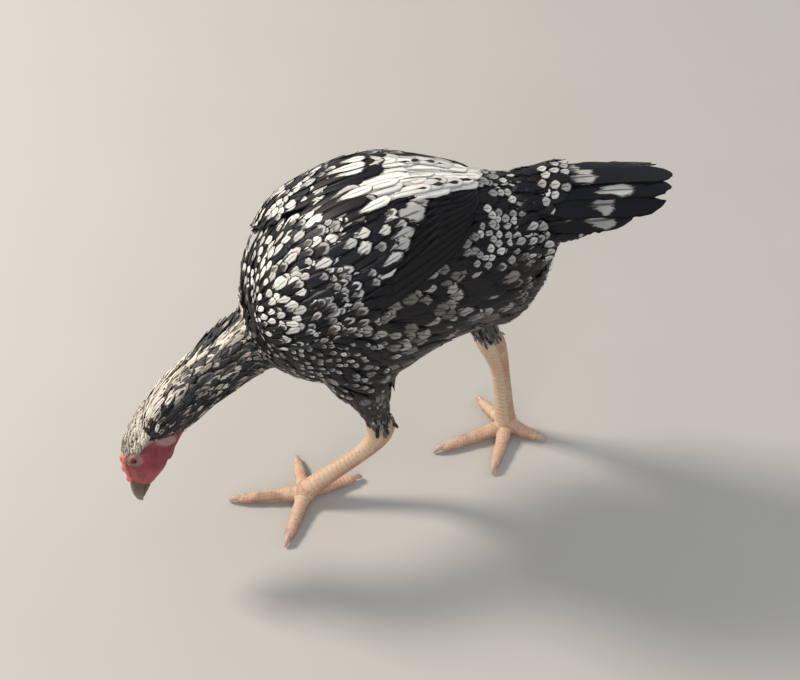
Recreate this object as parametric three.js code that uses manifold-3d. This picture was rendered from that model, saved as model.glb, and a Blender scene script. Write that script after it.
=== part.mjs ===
// A life-size game hen that walks with its head low, as a still model.
// Millimetres, +Z up. The bird faces -X, its left side is -Y, and it stands on the plane z = 0.
import * as THREE from "three";
import { mergeVertices } from "three/addons/utils/BufferGeometryUtils.js";
import Module from "manifold-3d";

const wasm = await Module();
wasm.setup();

// ---- Driving dimensions -------------------------------------------------------------------------

const GAP = 0.3; // clear space between two pieces that meet
const SLIVER = 0.02; // what is thinner than this is smoothed away after a cut
const SIDES = { left: -1, right: 1 }; // the sign of y on each side of the bird
const DEGREE = Math.PI / 180;

// The feathered trunk, without its wings: x, height of its middle, half width, rise above, depth below.
const TRUNK_STATIONS = [
  [-126, 232, 20, 16, 20],
  [-119, 233, 42, 36, 43],
  [-98, 238, 59, 64, 76],
  [-60, 243, 68, 84, 98],
  [-20, 245, 69, 91, 104],
  [20, 248, 62, 87, 80],
  [55, 250, 53, 76, 74],
  [90, 253, 43, 67, 76],
  [110, 261, 33, 57, 58],
  [124, 272, 20, 38, 28],
];
const TRUNK_RINGS = 18;
const TRUNK_SIDES = 20;

// The neck's line and its half thickness across and through, from inside the trunk to the nape.
const NECK_LINE = [
  [-90, -4, 211],
  [-121, -12, 203],
  [-149, -22, 194],
  [-180, -34, 181],
  [-203, -42, 164],
  [-214, -41, 151],
];
const NECK_STATIONS = [
  [0, 30, 32],
  [0.3, 27, 26],
  [0.6, 25, 23.5],
  [0.85, 24, 22.5],
  [1, 17, 18],
];

// The head, along a line from the beak's tip back to the nape: distance, half width, rise and depth.
const BEAK_TIP = [-233, -60, 89];
const HEAD_FORWARD = [-0.301, -0.387, -0.871];
const HEAD_UP = [-0.932, -0.072, 0.354];
const HEAD_STATIONS = [
  [15, 4.5, 6.5, 6.5],
  [19, 8.5, 10, 9],
  [28, 12.5, 15.5, 14.5],
  [40, 15.5, 21.5, 20.5],
  [52, 17, 24.5, 27],
  [62, 17.5, 24, 30],
  [72, 16, 20, 26],
  [82, 10, 12, 16],
];
const UPPER_BEAK_STATIONS = [
  [0, 1.4, 0.4, 2.6],
  [3, 3.6, 4, 1.8],
  [9, 6, 7.4, 0.4],
  [16, 7.6, 9.4, -0.4],
  [24, 8, 9.8, -0.4],
];
const LOWER_BEAK_STATIONS = [
  [3.4, 1, -1.4, 2.6],
  [9, 4, -1.2, 4.6],
  [16, 6, -0.8, 6.4],
  [24, 6.6, -0.8, 7],
];
const EYE = { radius: 5.6, back: 41.5, rise: 15, out: 9.4 };
const COMB = { from: 20, to: 40, height: 5.2, width: 2.6, ridges: [-3.1, 0, 3.1] };

// A folded wing, as a shell on the trunk's side from the shoulder to the tips over the rump.
// Along it: share of its length, x, top edge and lower edge as angles up from the side, thickness.
const WING_STATIONS = [
  [0, -118, 56, 22, 3],
  [0.08, -112, 70, 8, 7],
  [0.22, -92, 80, 5, 9],
  [0.43, -56, 84, 12, 9],
  [0.65, -16, 86, 24, 8],
  [0.85, 24, 87, 39, 6],
  [1, 54, 88, 62, 3],
];
const WING_STEPS = { along: 19, across: 8 };
const WING_EDGE = 1.2; // thickness at the wing's edges
const WING_LIFT = 0.9; // keeps the wing's flat facets clear of the trunk's
const WING_TIERS = [0.42, 0.72]; // where, across the wing, the coverts and the secondaries end
const WING_TIER_DROP = 0.22; // share of the swell that is lost at the end of each
const WING_SCALLOPS = { count: 6, from: 0.35, depth: 4 }; // round feather ends along the lower edge

// The tail: coverts round its root and a steep roof of long feathers, half on each side.
const TAIL_COVERTS = [
  [102, 278, 30, 42, 42],
  [126, 284, 33, 38, 38],
  [150, 284, 28, 31, 28],
  [172, 283, 13, 18, 14],
];
const TAIL_ARCH = {
  root: { x: 116, middle: 282, width: 29, height: 31, low: -18 },
  tip: { x: 213, middle: 273, width: 32, height: 24, low: -4 },
  high: 80, // degrees up from the side, of the highest feather; low is the lowest feather's
};
const TAIL_FEATHERS = 6; // on each side
const TAIL_FEATHER = { width: 26, thick: 1.1, shorten: 48, shortenPower: 2.1, lap: 0.9 };

// Each leg: the feathered thigh from the belly to the hock, the bare shank and four toes.
const LEGS = {
  left: {
    knee: [-54, -46, 226],
    hock: [-25, -26, 84],
    foot: [-92, -22, 9],
    toes: { inner: [90, 46], middle: [171, 67], outer: [241, 56], hind: [11, 49] },
  },
  right: {
    knee: [34, 42, 236],
    hock: [83, 22, 110],
    foot: [98, 12, 9],
    toes: { inner: [241, 54], middle: [189, 72], outer: [113, 46], hind: [326, 33] },
  },
};
const THIGH_STATIONS = [
  [0, 8, 12],
  [0.05, 15, 22],
  [0.16, 21, 30],
  [0.36, 22, 29],
  [0.62, 18, 20],
  [0.85, 13, 13.5],
  [1, 11, 12],
];
const SHANK_STATIONS = [
  [0, 9.5, 12],
  [0.12, 9.2, 11.5],
  [0.32, 7.2, 8.8],
  [0.75, 7, 8.2],
  [1, 8.4, 8.4],
];
const FOOT_BALL = 9.8; // radius, a little more than the height of its middle, so that its sole is flat
const TOE = { rootRadius: 7.2, tipRadius: 4.8, joints: { inner: 3, middle: 4, outer: 5, hind: 2 } };
const CLAW = { length: 9, radius: 3.6, drop: 1.8 };
const HIND_TOE = { rise: 15, back: 5 }; // where the hind toe leaves the shank

const COLOURS = {
  feathers: { color: 0x1d1b20, roughness: 0.6 },
  hackle: { color: 0xb9b6ac, roughness: 0.7 },
  face: { color: 0xa8323a, roughness: 0.5 },
  comb: { color: 0xb83a3e, roughness: 0.45 },
  horn: { color: 0x6b5a3c, roughness: 0.4 },
  eye: { color: 0x3a2412, roughness: 0.1 },
  shank: { color: 0xc9a582, roughness: 0.5 },
  claw: { color: 0xcdb29a, roughness: 0.4 },
};

// ---- Small helpers ------------------------------------------------------------------------------

const vector = (xyz) => new THREE.Vector3(...xyz);

/** The values at t of a smooth curve through stations of the form [t, value, value...]. */
function smoothly(stations) {
  const size = stations[0].length - 1;
  const interpolant = new THREE.CubicInterpolant(
    stations.map((row) => row[0]),
    stations.flatMap((row) => row.slice(1)),
    size,
  );
  return (t) => Array.from(interpolant.evaluate(t));
}

/** A list of count + 1 shares from 0 to 1. */
const shares = (count) => Array.from({ length: count + 1 }, (_, i) => i / count);

/** Shares that crowd towards both ends, so that a rounded end stays round. */
const endShares = (count) => shares(count).map((t) => 0.5 - 0.5 * Math.cos(Math.PI * t));

// ---- Surfaces -----------------------------------------------------------------------------------

/** A closed surface of these points and triangles, with its faces turned outwards. */
function closedSurface(points, triangles) {
  const volume = triangles.reduce(
    (sum, [a, b, c]) => sum + points[a].dot(new THREE.Vector3().crossVectors(points[b], points[c])),
    0,
  );
  const index = triangles.flatMap(([a, b, c]) => (volume < 0 ? [a, c, b] : [a, b, c]));
  return new THREE.BufferGeometry().setFromPoints(points).setIndex(index);
}

/** A closed tube of steps + 1 rings: pointAt(t, angle) gives each point, and a point closes each end. */
function loft(steps, sides, pointAt) {
  const rings = endShares(steps).map((t) =>
    shares(sides).slice(1).map((share) => pointAt(t, 2 * Math.PI * share)),
  );
  const middle = (ring) => ring.reduce((sum, p) => sum.add(p), new THREE.Vector3()).divideScalar(sides);
  const points = [...rings.flat(), middle(rings[0]), middle(rings.at(-1))];
  const [first, last] = [points.length - 2, points.length - 1];
  const triangles = [];
  for (let side = 0; side < sides; side++) {
    const next = (side + 1) % sides;
    for (let ring = 0; ring < rings.length - 1; ring++) {
      const here = ring * sides;
      triangles.push([here + side, here + next, here + sides + next]);
      triangles.push([here + side, here + sides + next, here + sides + side]);
    }
    const end = (rings.length - 1) * sides;
    triangles.push([first, next, side], [last, end + side, end + next]);
  }
  return closedSurface(points, triangles);
}

/** A shell between two grids of points of one size, closed round their edge. */
function shell(outer, inner) {
  const [rows, columns] = [outer.length, outer[0].length];
  const points = [...outer.flat(), ...inner.flat()];
  const under = rows * columns;
  const at = (row, column) => row * columns + column;
  const triangles = [];
  const quad = (a, b, c, d) => triangles.push([a, b, c], [a, c, d]);
  for (let row = 0; row < rows - 1; row++)
    for (let column = 0; column < columns - 1; column++) {
      const corners = [at(row, column), at(row, column + 1), at(row + 1, column + 1), at(row + 1, column)];
      quad(...corners);
      quad(...corners.map((corner) => corner + under).reverse());
    }
  const rim = [
    ...shares(columns - 1).map((_, i) => at(0, i)),
    ...shares(rows - 1).map((_, i) => at(i, columns - 1)).slice(1),
    ...shares(columns - 1).map((_, i) => at(rows - 1, columns - 1 - i)).slice(1),
    ...shares(rows - 1).map((_, i) => at(rows - 1 - i, 0)).slice(1, -1),
  ];
  rim.forEach((corner, i) => {
    const next = rim[(i + 1) % rim.length];
    quad(corner, corner + under, next + under, next);
  });
  return closedSurface(points, triangles);
}

/** How far an end is pushed out, when a tube is grown all round by this much. */
const endGrowth = (t, grow) => (t < 1e-6 ? -grow : t > 1 - 1e-6 ? grow : 0);

/** A tube along a curve, grown all round. section(t) gives half its width and half its thickness. */
function tube(curve, section, up, steps, sides, grow = 0) {
  return loft(steps, sides, (t, angle) => {
    const along = curve.getTangent(t);
    const across = new THREE.Vector3().crossVectors(up, along).normalize();
    const rise = new THREE.Vector3().crossVectors(along, across).normalize();
    const [width, thickness] = section(t);
    return curve
      .getPoint(t)
      .addScaledVector(along, endGrowth(t, grow))
      .addScaledVector(across, Math.cos(angle) * (width + grow))
      .addScaledVector(rise, Math.sin(angle) * (thickness + grow));
  });
}

/** A closed geometry as a solid that can be joined and cut. */
function solid(geometry) {
  const bare = geometry.clone();
  bare.deleteAttribute("normal");
  bare.deleteAttribute("uv");
  const merged = mergeVertices(bare, 1e-4);
  return new wasm.Manifold(
    new wasm.Mesh({
      numProp: 3,
      vertProperties: merged.attributes.position.array,
      triVerts: new Uint32Array(merged.index.array),
    }),
  );
}

/** The first solid without the others, and without any crumbs that the cuts leave. */
function cut(made, ...cutters) {
  const pieces = cutters.reduce((left, cutter) => left.subtract(cutter), made).simplify(SLIVER).decompose();
  return pieces.reduce((most, piece) => (piece.volume() > most.volume() ? piece : most));
}

/** A solid back as a geometry to show. */
function geometryOf(made) {
  const { numProp, vertProperties, triVerts } = made.getMesh();
  const geometry = new THREE.BufferGeometry();
  const flat = new Float32Array((vertProperties.length / numProp) * 3);
  for (let i = 0; i < flat.length / 3; i++) flat.set(vertProperties.subarray(i * numProp, i * numProp + 3), i * 3);
  geometry.setAttribute("position", new THREE.BufferAttribute(flat, 3));
  geometry.setIndex(new THREE.BufferAttribute(triVerts, 1));
  geometry.computeVertexNormals();
  return geometry;
}

const bird = new THREE.Group();

/** Adds a solid to the bird as a named mesh, and gives the solid back. */
function place(name, made, finish) {
  const material = new THREE.MeshStandardMaterial({ metalness: 0, ...finish });
  const mesh = new THREE.Mesh(geometryOf(made), material);
  mesh.name = name;
  bird.add(mesh);
  return made;
}

// ---- Trunk --------------------------------------------------------------------------------------

const trunkSection = smoothly(TRUNK_STATIONS);

/** A point on the trunk: an oval with its own rise and depth. Angle 0 is the side, 90 degrees the top. */
function trunkPoint(x, angle, side, grow = 0) {
  const [middle, width, rise, depth] = trunkSection(x);
  const [c, s] = [Math.cos(angle), Math.sin(angle)];
  return new THREE.Vector3(x, side * (width + grow) * c, middle + ((s > 0 ? rise : depth) + grow) * s);
}

/** The trunk, or the trunk with a little added all round to cut its neighbours with. */
function makeTrunk(grow = 0) {
  const [from, to] = [TRUNK_STATIONS[0][0], TRUNK_STATIONS.at(-1)[0]];
  const pointAt = (t, angle) => {
    const point = trunkPoint(from + t * (to - from), angle, 1, grow);
    return point.setX(point.x + endGrowth(t, grow));
  };
  return solid(loft(TRUNK_RINGS, TRUNK_SIDES, pointAt));
}

// ---- Wings --------------------------------------------------------------------------------------

const wingSection = smoothly(WING_STATIONS);

/** A point of the wing: a place on the trunk, moved out along the trunk's own outward direction. */
function wingPoint(along, across, side, out) {
  const [x, top, low] = wingSection(along);
  const angle = (top + (low + wingScallop(along) - top) * across) * DEGREE;
  const here = trunkPoint(x, angle, side);
  const step = 1e-3;
  const ahead = trunkPoint(x + 1, angle, side).sub(here);
  const round = trunkPoint(x, angle + step, side).sub(here);
  const outward = new THREE.Vector3().crossVectors(round, ahead).normalize().multiplyScalar(side);
  return here.addScaledVector(outward, out);
}

/** How far the lower edge is raised, in degrees, between one feather end and the next. */
function wingScallop(along) {
  const { count, from, depth } = WING_SCALLOPS;
  const share = Math.max(0, (along - from) / (1 - from));
  return depth * (1 - Math.abs(Math.sin(Math.PI * count * share))) * Math.min(1, share * 4);
}

/** A folded wing: thick in its middle, thin round its edge, in tiers that end one below the other. */
function makeWing(side) {
  const thickness = (along, across) => {
    const middle = wingSection(along)[3];
    const tiers = WING_TIERS.filter((end) => across > end).length;
    const swell = Math.sin(Math.PI * across) ** 0.6 * Math.sin(Math.PI * Math.min(1, along * 4 + 0.15) * 0.5);
    return WING_LIFT + WING_EDGE + middle * swell * (1 - WING_TIER_DROP * tiers);
  };
  const grid = (out) =>
    endShares(WING_STEPS.along).map((along) =>
      shares(WING_STEPS.across).map((across) => wingPoint(along, across, side, out(along, across))),
    );
  return solid(shell(grid(thickness), grid(() => WING_LIFT)));
}

// ---- Tail ---------------------------------------------------------------------------------------

/** One long tail feather: a flat blade with a round end. */
function makeTailFeather(length) {
  const half = TAIL_FEATHER.width / 2;
  const outline = new THREE.Shape()
    .moveTo(0, -half * 0.35)
    .lineTo(length * 0.45, -half)
    .lineTo(length - half, -half)
    .absarc(length - half, 0, half, -Math.PI / 2, Math.PI / 2, false)
    .lineTo(length * 0.45, half)
    .lineTo(0, half * 0.35)
    .closePath();
  const geometry = new THREE.ExtrudeGeometry(outline, {
    depth: TAIL_FEATHER.thick,
    bevelEnabled: false,
    curveSegments: 2,
  });
  return geometry.translate(0, 0, -TAIL_FEATHER.thick / 2);
}

/** A place on one of the two arches that the tail feathers start and end on, for a share of the way down. */
function onArch({ x, middle, width, height, low }, share, side, inwards) {
  const angle = (TAIL_ARCH.high + (low - TAIL_ARCH.high) * share) * DEGREE;
  return new THREE.Vector3(
    x,
    side * (width - inwards) * Math.cos(angle),
    middle + (height - inwards) * Math.sin(angle),
  );
}

/** Where a tail feather lies: number 0 is the highest, and each one after it laps under the one before. */
function tailFeatherFrame(number, side) {
  const share = number / (TAIL_FEATHERS - 1);
  const inwards = number * TAIL_FEATHER.lap + (side > 0 ? TAIL_FEATHER.lap / 2 : 0);
  const root = onArch(TAIL_ARCH.root, share, side, inwards);
  const tip = onArch(TAIL_ARCH.tip, share, side, inwards);
  tip.x -= TAIL_FEATHER.shorten * share ** TAIL_FEATHER.shortenPower;
  const along = tip.clone().sub(root);
  const length = along.length();
  along.normalize();
  const outward = new THREE.Vector3(0, root.y, root.z - TAIL_ARCH.root.middle);
  const across = new THREE.Vector3().crossVectors(outward, along).normalize();
  outward.crossVectors(along, across);
  return { length, frame: new THREE.Matrix4().makeBasis(along, across, outward).setPosition(root) };
}

/** The tail's coverts with the long feathers in them, in a steep roof that is open below. */
function makeTail() {
  const section = smoothly(TAIL_COVERTS);
  const [from, to] = [TAIL_COVERTS[0][0], TAIL_COVERTS.at(-1)[0]];
  const pointAt = (t, angle) => {
    const x = from + t * (to - from);
    const [middle, width, rise, depth] = section(x);
    const s = Math.sin(angle);
    return new THREE.Vector3(x, width * Math.cos(angle), middle + (s > 0 ? rise : depth) * s);
  };
  let tail = solid(loft(6, 12, pointAt));
  for (const side of Object.values(SIDES))
    for (let number = 0; number < TAIL_FEATHERS; number++) {
      const { length, frame } = tailFeatherFrame(number, side);
      tail = tail.add(solid(makeTailFeather(length).applyMatrix4(frame)));
    }
  return tail;
}

// ---- Neck and head ------------------------------------------------------------------------------

const neckCurve = new THREE.CatmullRomCurve3(NECK_LINE.map(vector));
const neckSection = smoothly(NECK_STATIONS);

/** The feathered neck, from inside the trunk to the nape. */
function makeNeck(grow = 0) {
  return solid(tube(neckCurve, neckSection, new THREE.Vector3(0, 0, 1), 11, 15, grow));
}

const headForward = vector(HEAD_FORWARD).normalize();
const headLeft = new THREE.Vector3().crossVectors(vector(HEAD_UP), headForward).normalize();
const headUp = new THREE.Vector3().crossVectors(headForward, headLeft).normalize();

/** A place in the head's own frame: back from the beak's tip, up from the line of the mouth, to the left. */
function inHead(back, rise, left = 0) {
  return vector(BEAK_TIP)
    .addScaledVector(headForward, -back)
    .addScaledVector(headUp, rise)
    .addScaledVector(headLeft, left);
}

/** A solid along the head's line, from stations of distance back, half width, rise and depth. */
function alongHead(stations, steps, sides, grow = 0) {
  const section = smoothly(stations);
  const [from, to] = [stations[0][0], stations.at(-1)[0]];
  const pointAt = (t, angle) => {
    const back = from + t * (to - from);
    const [width, rise, depth] = section(back).map((size) => size + grow);
    const height = (rise - depth) / 2 + ((rise + depth) / 2) * Math.sin(angle);
    return inHead(back + endGrowth(t, grow), height, width * Math.cos(angle));
  };
  return solid(loft(steps, sides, pointAt));
}

/** A ball for one eye, or for the socket it sits in. */
function makeEye(side, grow = 0) {
  const ball = new THREE.SphereGeometry(EYE.radius + grow, 11, 8);
  const at = inHead(EYE.back, EYE.rise, -side * EYE.out);
  return solid(ball.translate(at.x, at.y, at.z));
}

/** The low comb: three ridges side by side, each a row of small knobs, the middle one highest. */
function makeComb() {
  const knobs = 3;
  const headSection = smoothly(HEAD_STATIONS);
  let comb = null;
  for (const ridge of COMB.ridges)
    for (let i = 0; i < knobs; i++) {
      const back = COMB.from + ((COMB.to - COMB.from) * (i + 0.5)) / knobs;
      const height = COMB.height * (ridge === 0 ? 1 : 0.7) * (1 - 0.25 * Math.abs(i - 1));
      const knob = new THREE.SphereGeometry(1, 6, 5);
      const frame = new THREE.Matrix4().makeBasis(headForward, headLeft, headUp);
      frame.setPosition(inHead(back, headSection(back)[1] - 1, ridge));
      const size = new THREE.Matrix4().makeScale((COMB.to - COMB.from) / knobs / 1.6, COMB.width, height);
      const made = solid(knob.applyMatrix4(size).applyMatrix4(frame));
      comb = comb ? comb.add(made) : made;
    }
  return comb;
}

// ---- Legs ---------------------------------------------------------------------------------------

/** Everything above the floor, to cut the soles flat with. */
const aboveFloor = solid(new THREE.BoxGeometry(800, 400, 400).translate(0, 0, 200));

/** The feathered part of a leg, down to the hock. */
function makeThigh(leg, grow = 0) {
  const hem = vector(leg.knee).lerp(vector(leg.hock), 0.93);
  const line = new THREE.LineCurve3(vector(leg.knee), hem);
  return solid(tube(line, smoothly(THIGH_STATIONS), new THREE.Vector3(1, 0, 0), 8, 14, grow));
}

/** The bare shank with the hock at its top and the ball of the foot, flat below, at its end. */
function makeShank(leg, grow = 0) {
  const top = vector(leg.hock).lerp(vector(leg.knee), 0.06);
  const curve = new THREE.CatmullRomCurve3([top, vector(leg.hock), vector(leg.foot)], false, "chordal");
  const made = solid(tube(curve, smoothly(SHANK_STATIONS), new THREE.Vector3(1, 0, 0), 9, 10, grow));
  const ball = new THREE.SphereGeometry(FOOT_BALL + grow, 10, 7).translate(...leg.foot);
  return made.add(solid(ball)).intersect(aboveFloor);
}

/** The line of a toe: out from the foot at an angle round it, low over the floor, down to its tip. */
function toeCurve(leg, name) {
  const [angle, length] = leg.toes[name];
  const away = new THREE.Vector3(Math.cos(angle * DEGREE), Math.sin(angle * DEGREE), 0);
  const root = vector(leg.foot);
  if (name === "hind") root.setZ(HIND_TOE.rise);
  const reach = name === "hind" ? HIND_TOE.back : 0;
  const at = (share, height) =>
    vector(leg.foot).setZ(height).addScaledVector(away, reach + share * (length - CLAW.length));
  return new THREE.CatmullRomCurve3([root, at(0.35, 6), at(0.7, 5), at(1, 4.4)]);
}

/** A toe with a pad under each joint, cut flat where it stands. */
function makeToe(leg, name, grow = 0) {
  const joints = TOE.joints[name];
  const section = (t) => {
    const radius = TOE.rootRadius + (TOE.tipRadius - TOE.rootRadius) * t;
    const pad = 1 + 0.09 * Math.cos(2 * Math.PI * joints * t);
    const tip = t > 0.96 ? 0.75 : 1;
    return [radius * pad * tip, radius * pad * tip];
  };
  const made = solid(tube(toeCurve(leg, name), section, new THREE.Vector3(0, 0, 1), 8, 8, grow));
  return made.intersect(aboveFloor);
}

/** A claw: a curved cone that goes on from the toe and bends to the floor. */
function makeClaw(leg, name) {
  const curve = toeCurve(leg, name);
  const end = curve.getPoint(0.97);
  const away = curve.getTangent(1).setZ(0).normalize();
  const tip = end.clone().addScaledVector(away, CLAW.length).setZ(CLAW.drop);
  const bend = end.clone().addScaledVector(away, CLAW.length * 0.55).setZ(end.z + 0.6);
  const line = new THREE.QuadraticBezierCurve3(end, bend, tip);
  const section = (t) => [CLAW.radius * (1 - t) ** 0.7 * 0.8 + 0.3, CLAW.radius * (1 - t) ** 0.7 + 0.35];
  return solid(tube(line, section, new THREE.Vector3(0, 0, 1), 4, 6)).intersect(aboveFloor);
}

// ---- The bird -----------------------------------------------------------------------------------

const cutTrunk = makeTrunk(GAP);
const cutNeck = makeNeck(GAP);
const cutHead = alongHead(HEAD_STATIONS, 11, 14, GAP);
const cutBeak = alongHead(UPPER_BEAK_STATIONS, 6, 10, GAP);
const sockets = Object.values(SIDES).map((side) => makeEye(side, GAP));

place("trunk", makeTrunk(), COLOURS.feathers);
place("neck", cut(makeNeck(), cutTrunk, cutHead), COLOURS.hackle);
place("tail", cut(makeTail(), cutTrunk), COLOURS.feathers);
place("head", cut(alongHead(HEAD_STATIONS, 11, 14), ...sockets), COLOURS.face);
place("beak_upper", cut(alongHead(UPPER_BEAK_STATIONS, 6, 10), cutHead), COLOURS.horn);
place("beak_lower", cut(alongHead(LOWER_BEAK_STATIONS, 5, 10), cutHead, cutBeak), COLOURS.horn);
place("comb", cut(makeComb(), cutHead), COLOURS.comb);

for (const [name, side] of Object.entries(SIDES)) {
  const leg = LEGS[name];
  place(`eye_${name}`, makeEye(side), COLOURS.eye);
  place(`wing_${name}`, cut(makeWing(side), cutNeck), COLOURS.feathers);
  place(`thigh_${name}`, cut(makeThigh(leg), cutTrunk), COLOURS.feathers);
  place(`shank_${name}`, cut(makeShank(leg), makeThigh(leg, GAP)), COLOURS.shank);
  const standing = [makeShank(leg, GAP)];
  for (const toe of Object.keys(leg.toes)) {
    place(`toe_${toe}_${name}`, cut(makeToe(leg, toe), ...standing), COLOURS.shank);
    standing.push(makeToe(leg, toe, GAP));
    place(`claw_${toe}_${name}`, cut(makeClaw(leg, toe), standing.at(-1)), COLOURS.claw);
  }
}

// The origin is on the floor, under the middle of the bird.
const bounds = new THREE.Box3().setFromObject(bird);
const centre = bounds.getCenter(new THREE.Vector3());
bird.position.set(-centre.x, -centre.y, -bounds.min.z);

export default bird;
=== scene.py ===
"""The looks of a life-size chicken that walks with its head held low.

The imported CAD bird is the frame. One skin lies inside it by the depth of the coat, thin solid vanes
lie on that skin as feathers, and the eyes, bill, comb and claws are pieces of their own.
Shapes are worked out in millimetres in the bird's own frame: +Z up, it faces -X, its left side is -Y,
and the origin is on the floor between the feet. They are moved to the CAD frame as they become meshes.
"""

import logging
import math
from collections.abc import Callable, Sequence
from dataclasses import dataclass, field, fields
from enum import Enum

import bpy
import numpy as np
from mathutils import Matrix, Vector

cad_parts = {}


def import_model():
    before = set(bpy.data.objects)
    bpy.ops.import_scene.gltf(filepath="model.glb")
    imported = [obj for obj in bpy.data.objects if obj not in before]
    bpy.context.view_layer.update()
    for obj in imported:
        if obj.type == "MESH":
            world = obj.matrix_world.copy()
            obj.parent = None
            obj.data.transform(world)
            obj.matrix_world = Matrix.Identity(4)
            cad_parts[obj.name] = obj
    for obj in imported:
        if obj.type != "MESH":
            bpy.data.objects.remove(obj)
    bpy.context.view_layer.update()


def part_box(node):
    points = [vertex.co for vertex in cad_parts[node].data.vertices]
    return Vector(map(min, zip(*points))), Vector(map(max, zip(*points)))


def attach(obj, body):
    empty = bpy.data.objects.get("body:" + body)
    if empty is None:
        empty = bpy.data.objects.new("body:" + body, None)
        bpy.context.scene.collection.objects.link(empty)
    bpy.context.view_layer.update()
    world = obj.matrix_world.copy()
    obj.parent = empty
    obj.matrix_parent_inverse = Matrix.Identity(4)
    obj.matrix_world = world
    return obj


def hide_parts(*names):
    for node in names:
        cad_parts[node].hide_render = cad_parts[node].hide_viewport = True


log = logging.getLogger("chicken")
Array = np.ndarray
Value = Array | float
Rows = Sequence[Sequence[float]]
Triple = tuple[float, float, float]
Material, Piece = bpy.types.Material, bpy.types.Object
MM = 0.001
TURN = 2 * math.pi
SIDES = {"left": -1, "right": 1}  # the sign of y on each side of the bird

# ---- Numbers ------------------------------------------------------------------------------------


def unit(vectors: Array) -> Array:
    """Vectors of length one, along the last axis."""
    vectors = np.asarray(vectors, float)
    return vectors / np.maximum(np.linalg.norm(vectors, axis=-1, keepdims=True), 1e-9)


def ease(low: float, high: float, value: Value) -> Array:
    """A smooth step from 0 at low to 1 at high, either way round: 3s^2 - 2s^3 of the share s."""
    share = np.clip((np.asarray(value, float) - low) / (high - low), 0, 1)
    return share * share * (3 - 2 * share)


def bell(value: Array, width: float) -> Array:
    """A bell curve: e to the minus square of value / width."""
    return np.exp(-np.square(np.asarray(value, float) / width))


def together(*values: Value) -> Array:
    """Numbers or arrays of them side by side, along a new last axis."""
    return np.stack(np.broadcast_arrays(*values), axis=-1)


def around(count: int, row: int = 0) -> Array:
    """Even angles round a ring, half a place further on in every other row."""
    return TURN * (np.arange(count) + row % 2 / 2) / count


def bricks(rows: Array, counts: Array, least: int) -> tuple[Array, Array]:
    """A brick pattern of rings, each turned half a place from the one before.

    Args:
        rows: Where the rings are.
        counts: How many places each has room for.
        least: The fewest that it may have.

    Returns:
        For each place, where its ring is and its angle round the ring.
    """
    counts = np.maximum(least, np.round(counts)).astype(int)
    return np.repeat(rows, counts), np.concatenate([around(count, row) for row, count in enumerate(counts)])


def cubic(s: Array, start: Array, end: Array, leave: Array, arrive: Array) -> Array:
    """The cubic from start to end with these slopes there, at shares s of the way."""
    first = (1 + 2 * s) * (1 - s) ** 2 * start + s * (1 - s) ** 2 * leave
    return first + s * s * (3 - 2 * s) * end + s * s * (s - 1) * arrive


def through(stations: Rows, at: Value) -> Array:
    """A smooth curve through stations of the form (place, value, value...).

    Each span is a cubic whose slopes at its ends are those of the parabola through the neighbours.

    Args:
        stations: The rows, in order of place.
        at: The places to give values for.

    Returns:
        The values, with one column for each value of a station.
    """
    table = np.asarray(stations, float)
    knots, values = table[:, 0], table[:, 1:]
    slopes = np.gradient(values, knots, axis=0)
    at = np.clip(np.asarray(at, float), knots[0], knots[-1])
    span = np.clip(np.searchsorted(knots, at, side="right") - 1, 0, len(knots) - 2)
    size = (knots[span + 1] - knots[span])[..., None]
    s = (at - knots[span])[..., None] / size
    return cubic(s, values[span], values[span + 1], size * slopes[span], size * slopes[span + 1])


def crowded(start: float, end: float, count: int) -> Array:
    """Places from start to end that crowd towards both."""
    return start + (end - start) * (0.5 - 0.5 * np.cos(np.pi * np.linspace(0, 1, count)))


def mottle(places: Array, seed: int = 0) -> Array:
    """Smooth noise from -1 to 1: a hashed number on each lattice corner, blended across its cell.

    Args:
        places: Points, in cells.
        seed: Chooses the pattern.

    Returns:
        One number for each point.
    """
    low = np.floor(places)
    share = places - low
    share = share * share * (3 - 2 * share)
    low = low.astype(np.int64)
    total = np.zeros(places.shape[:-1])
    for corner in range(2 ** places.shape[-1]):
        offset = np.array([corner >> axis & 1 for axis in range(places.shape[-1])])
        mixed = ((low + offset) * np.array([73856093, 19349663, 83492791])[: places.shape[-1]]).sum(-1)
        mixed = (mixed ^ (mixed >> 13) ^ (seed * 668265263)) * 1274126177 & 0xFFFFFFFF
        mixed = (mixed ^ (mixed >> 15)) * 2246822519 & 0xFFFFFFFF
        total += np.where(offset, share, 1 - share).prod(-1) * (mixed / 2147483648.0 - 1)
    return total


def facing(here: Array, ahead: Array, beside: Array, middle: Array) -> Array:
    """Directions out of a surface, across the steps ahead and beside and away from a middle."""
    out = unit(np.cross(ahead - here, beside - here))
    return out * np.sign((out * (here - middle)).sum(-1))[..., None]


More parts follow.
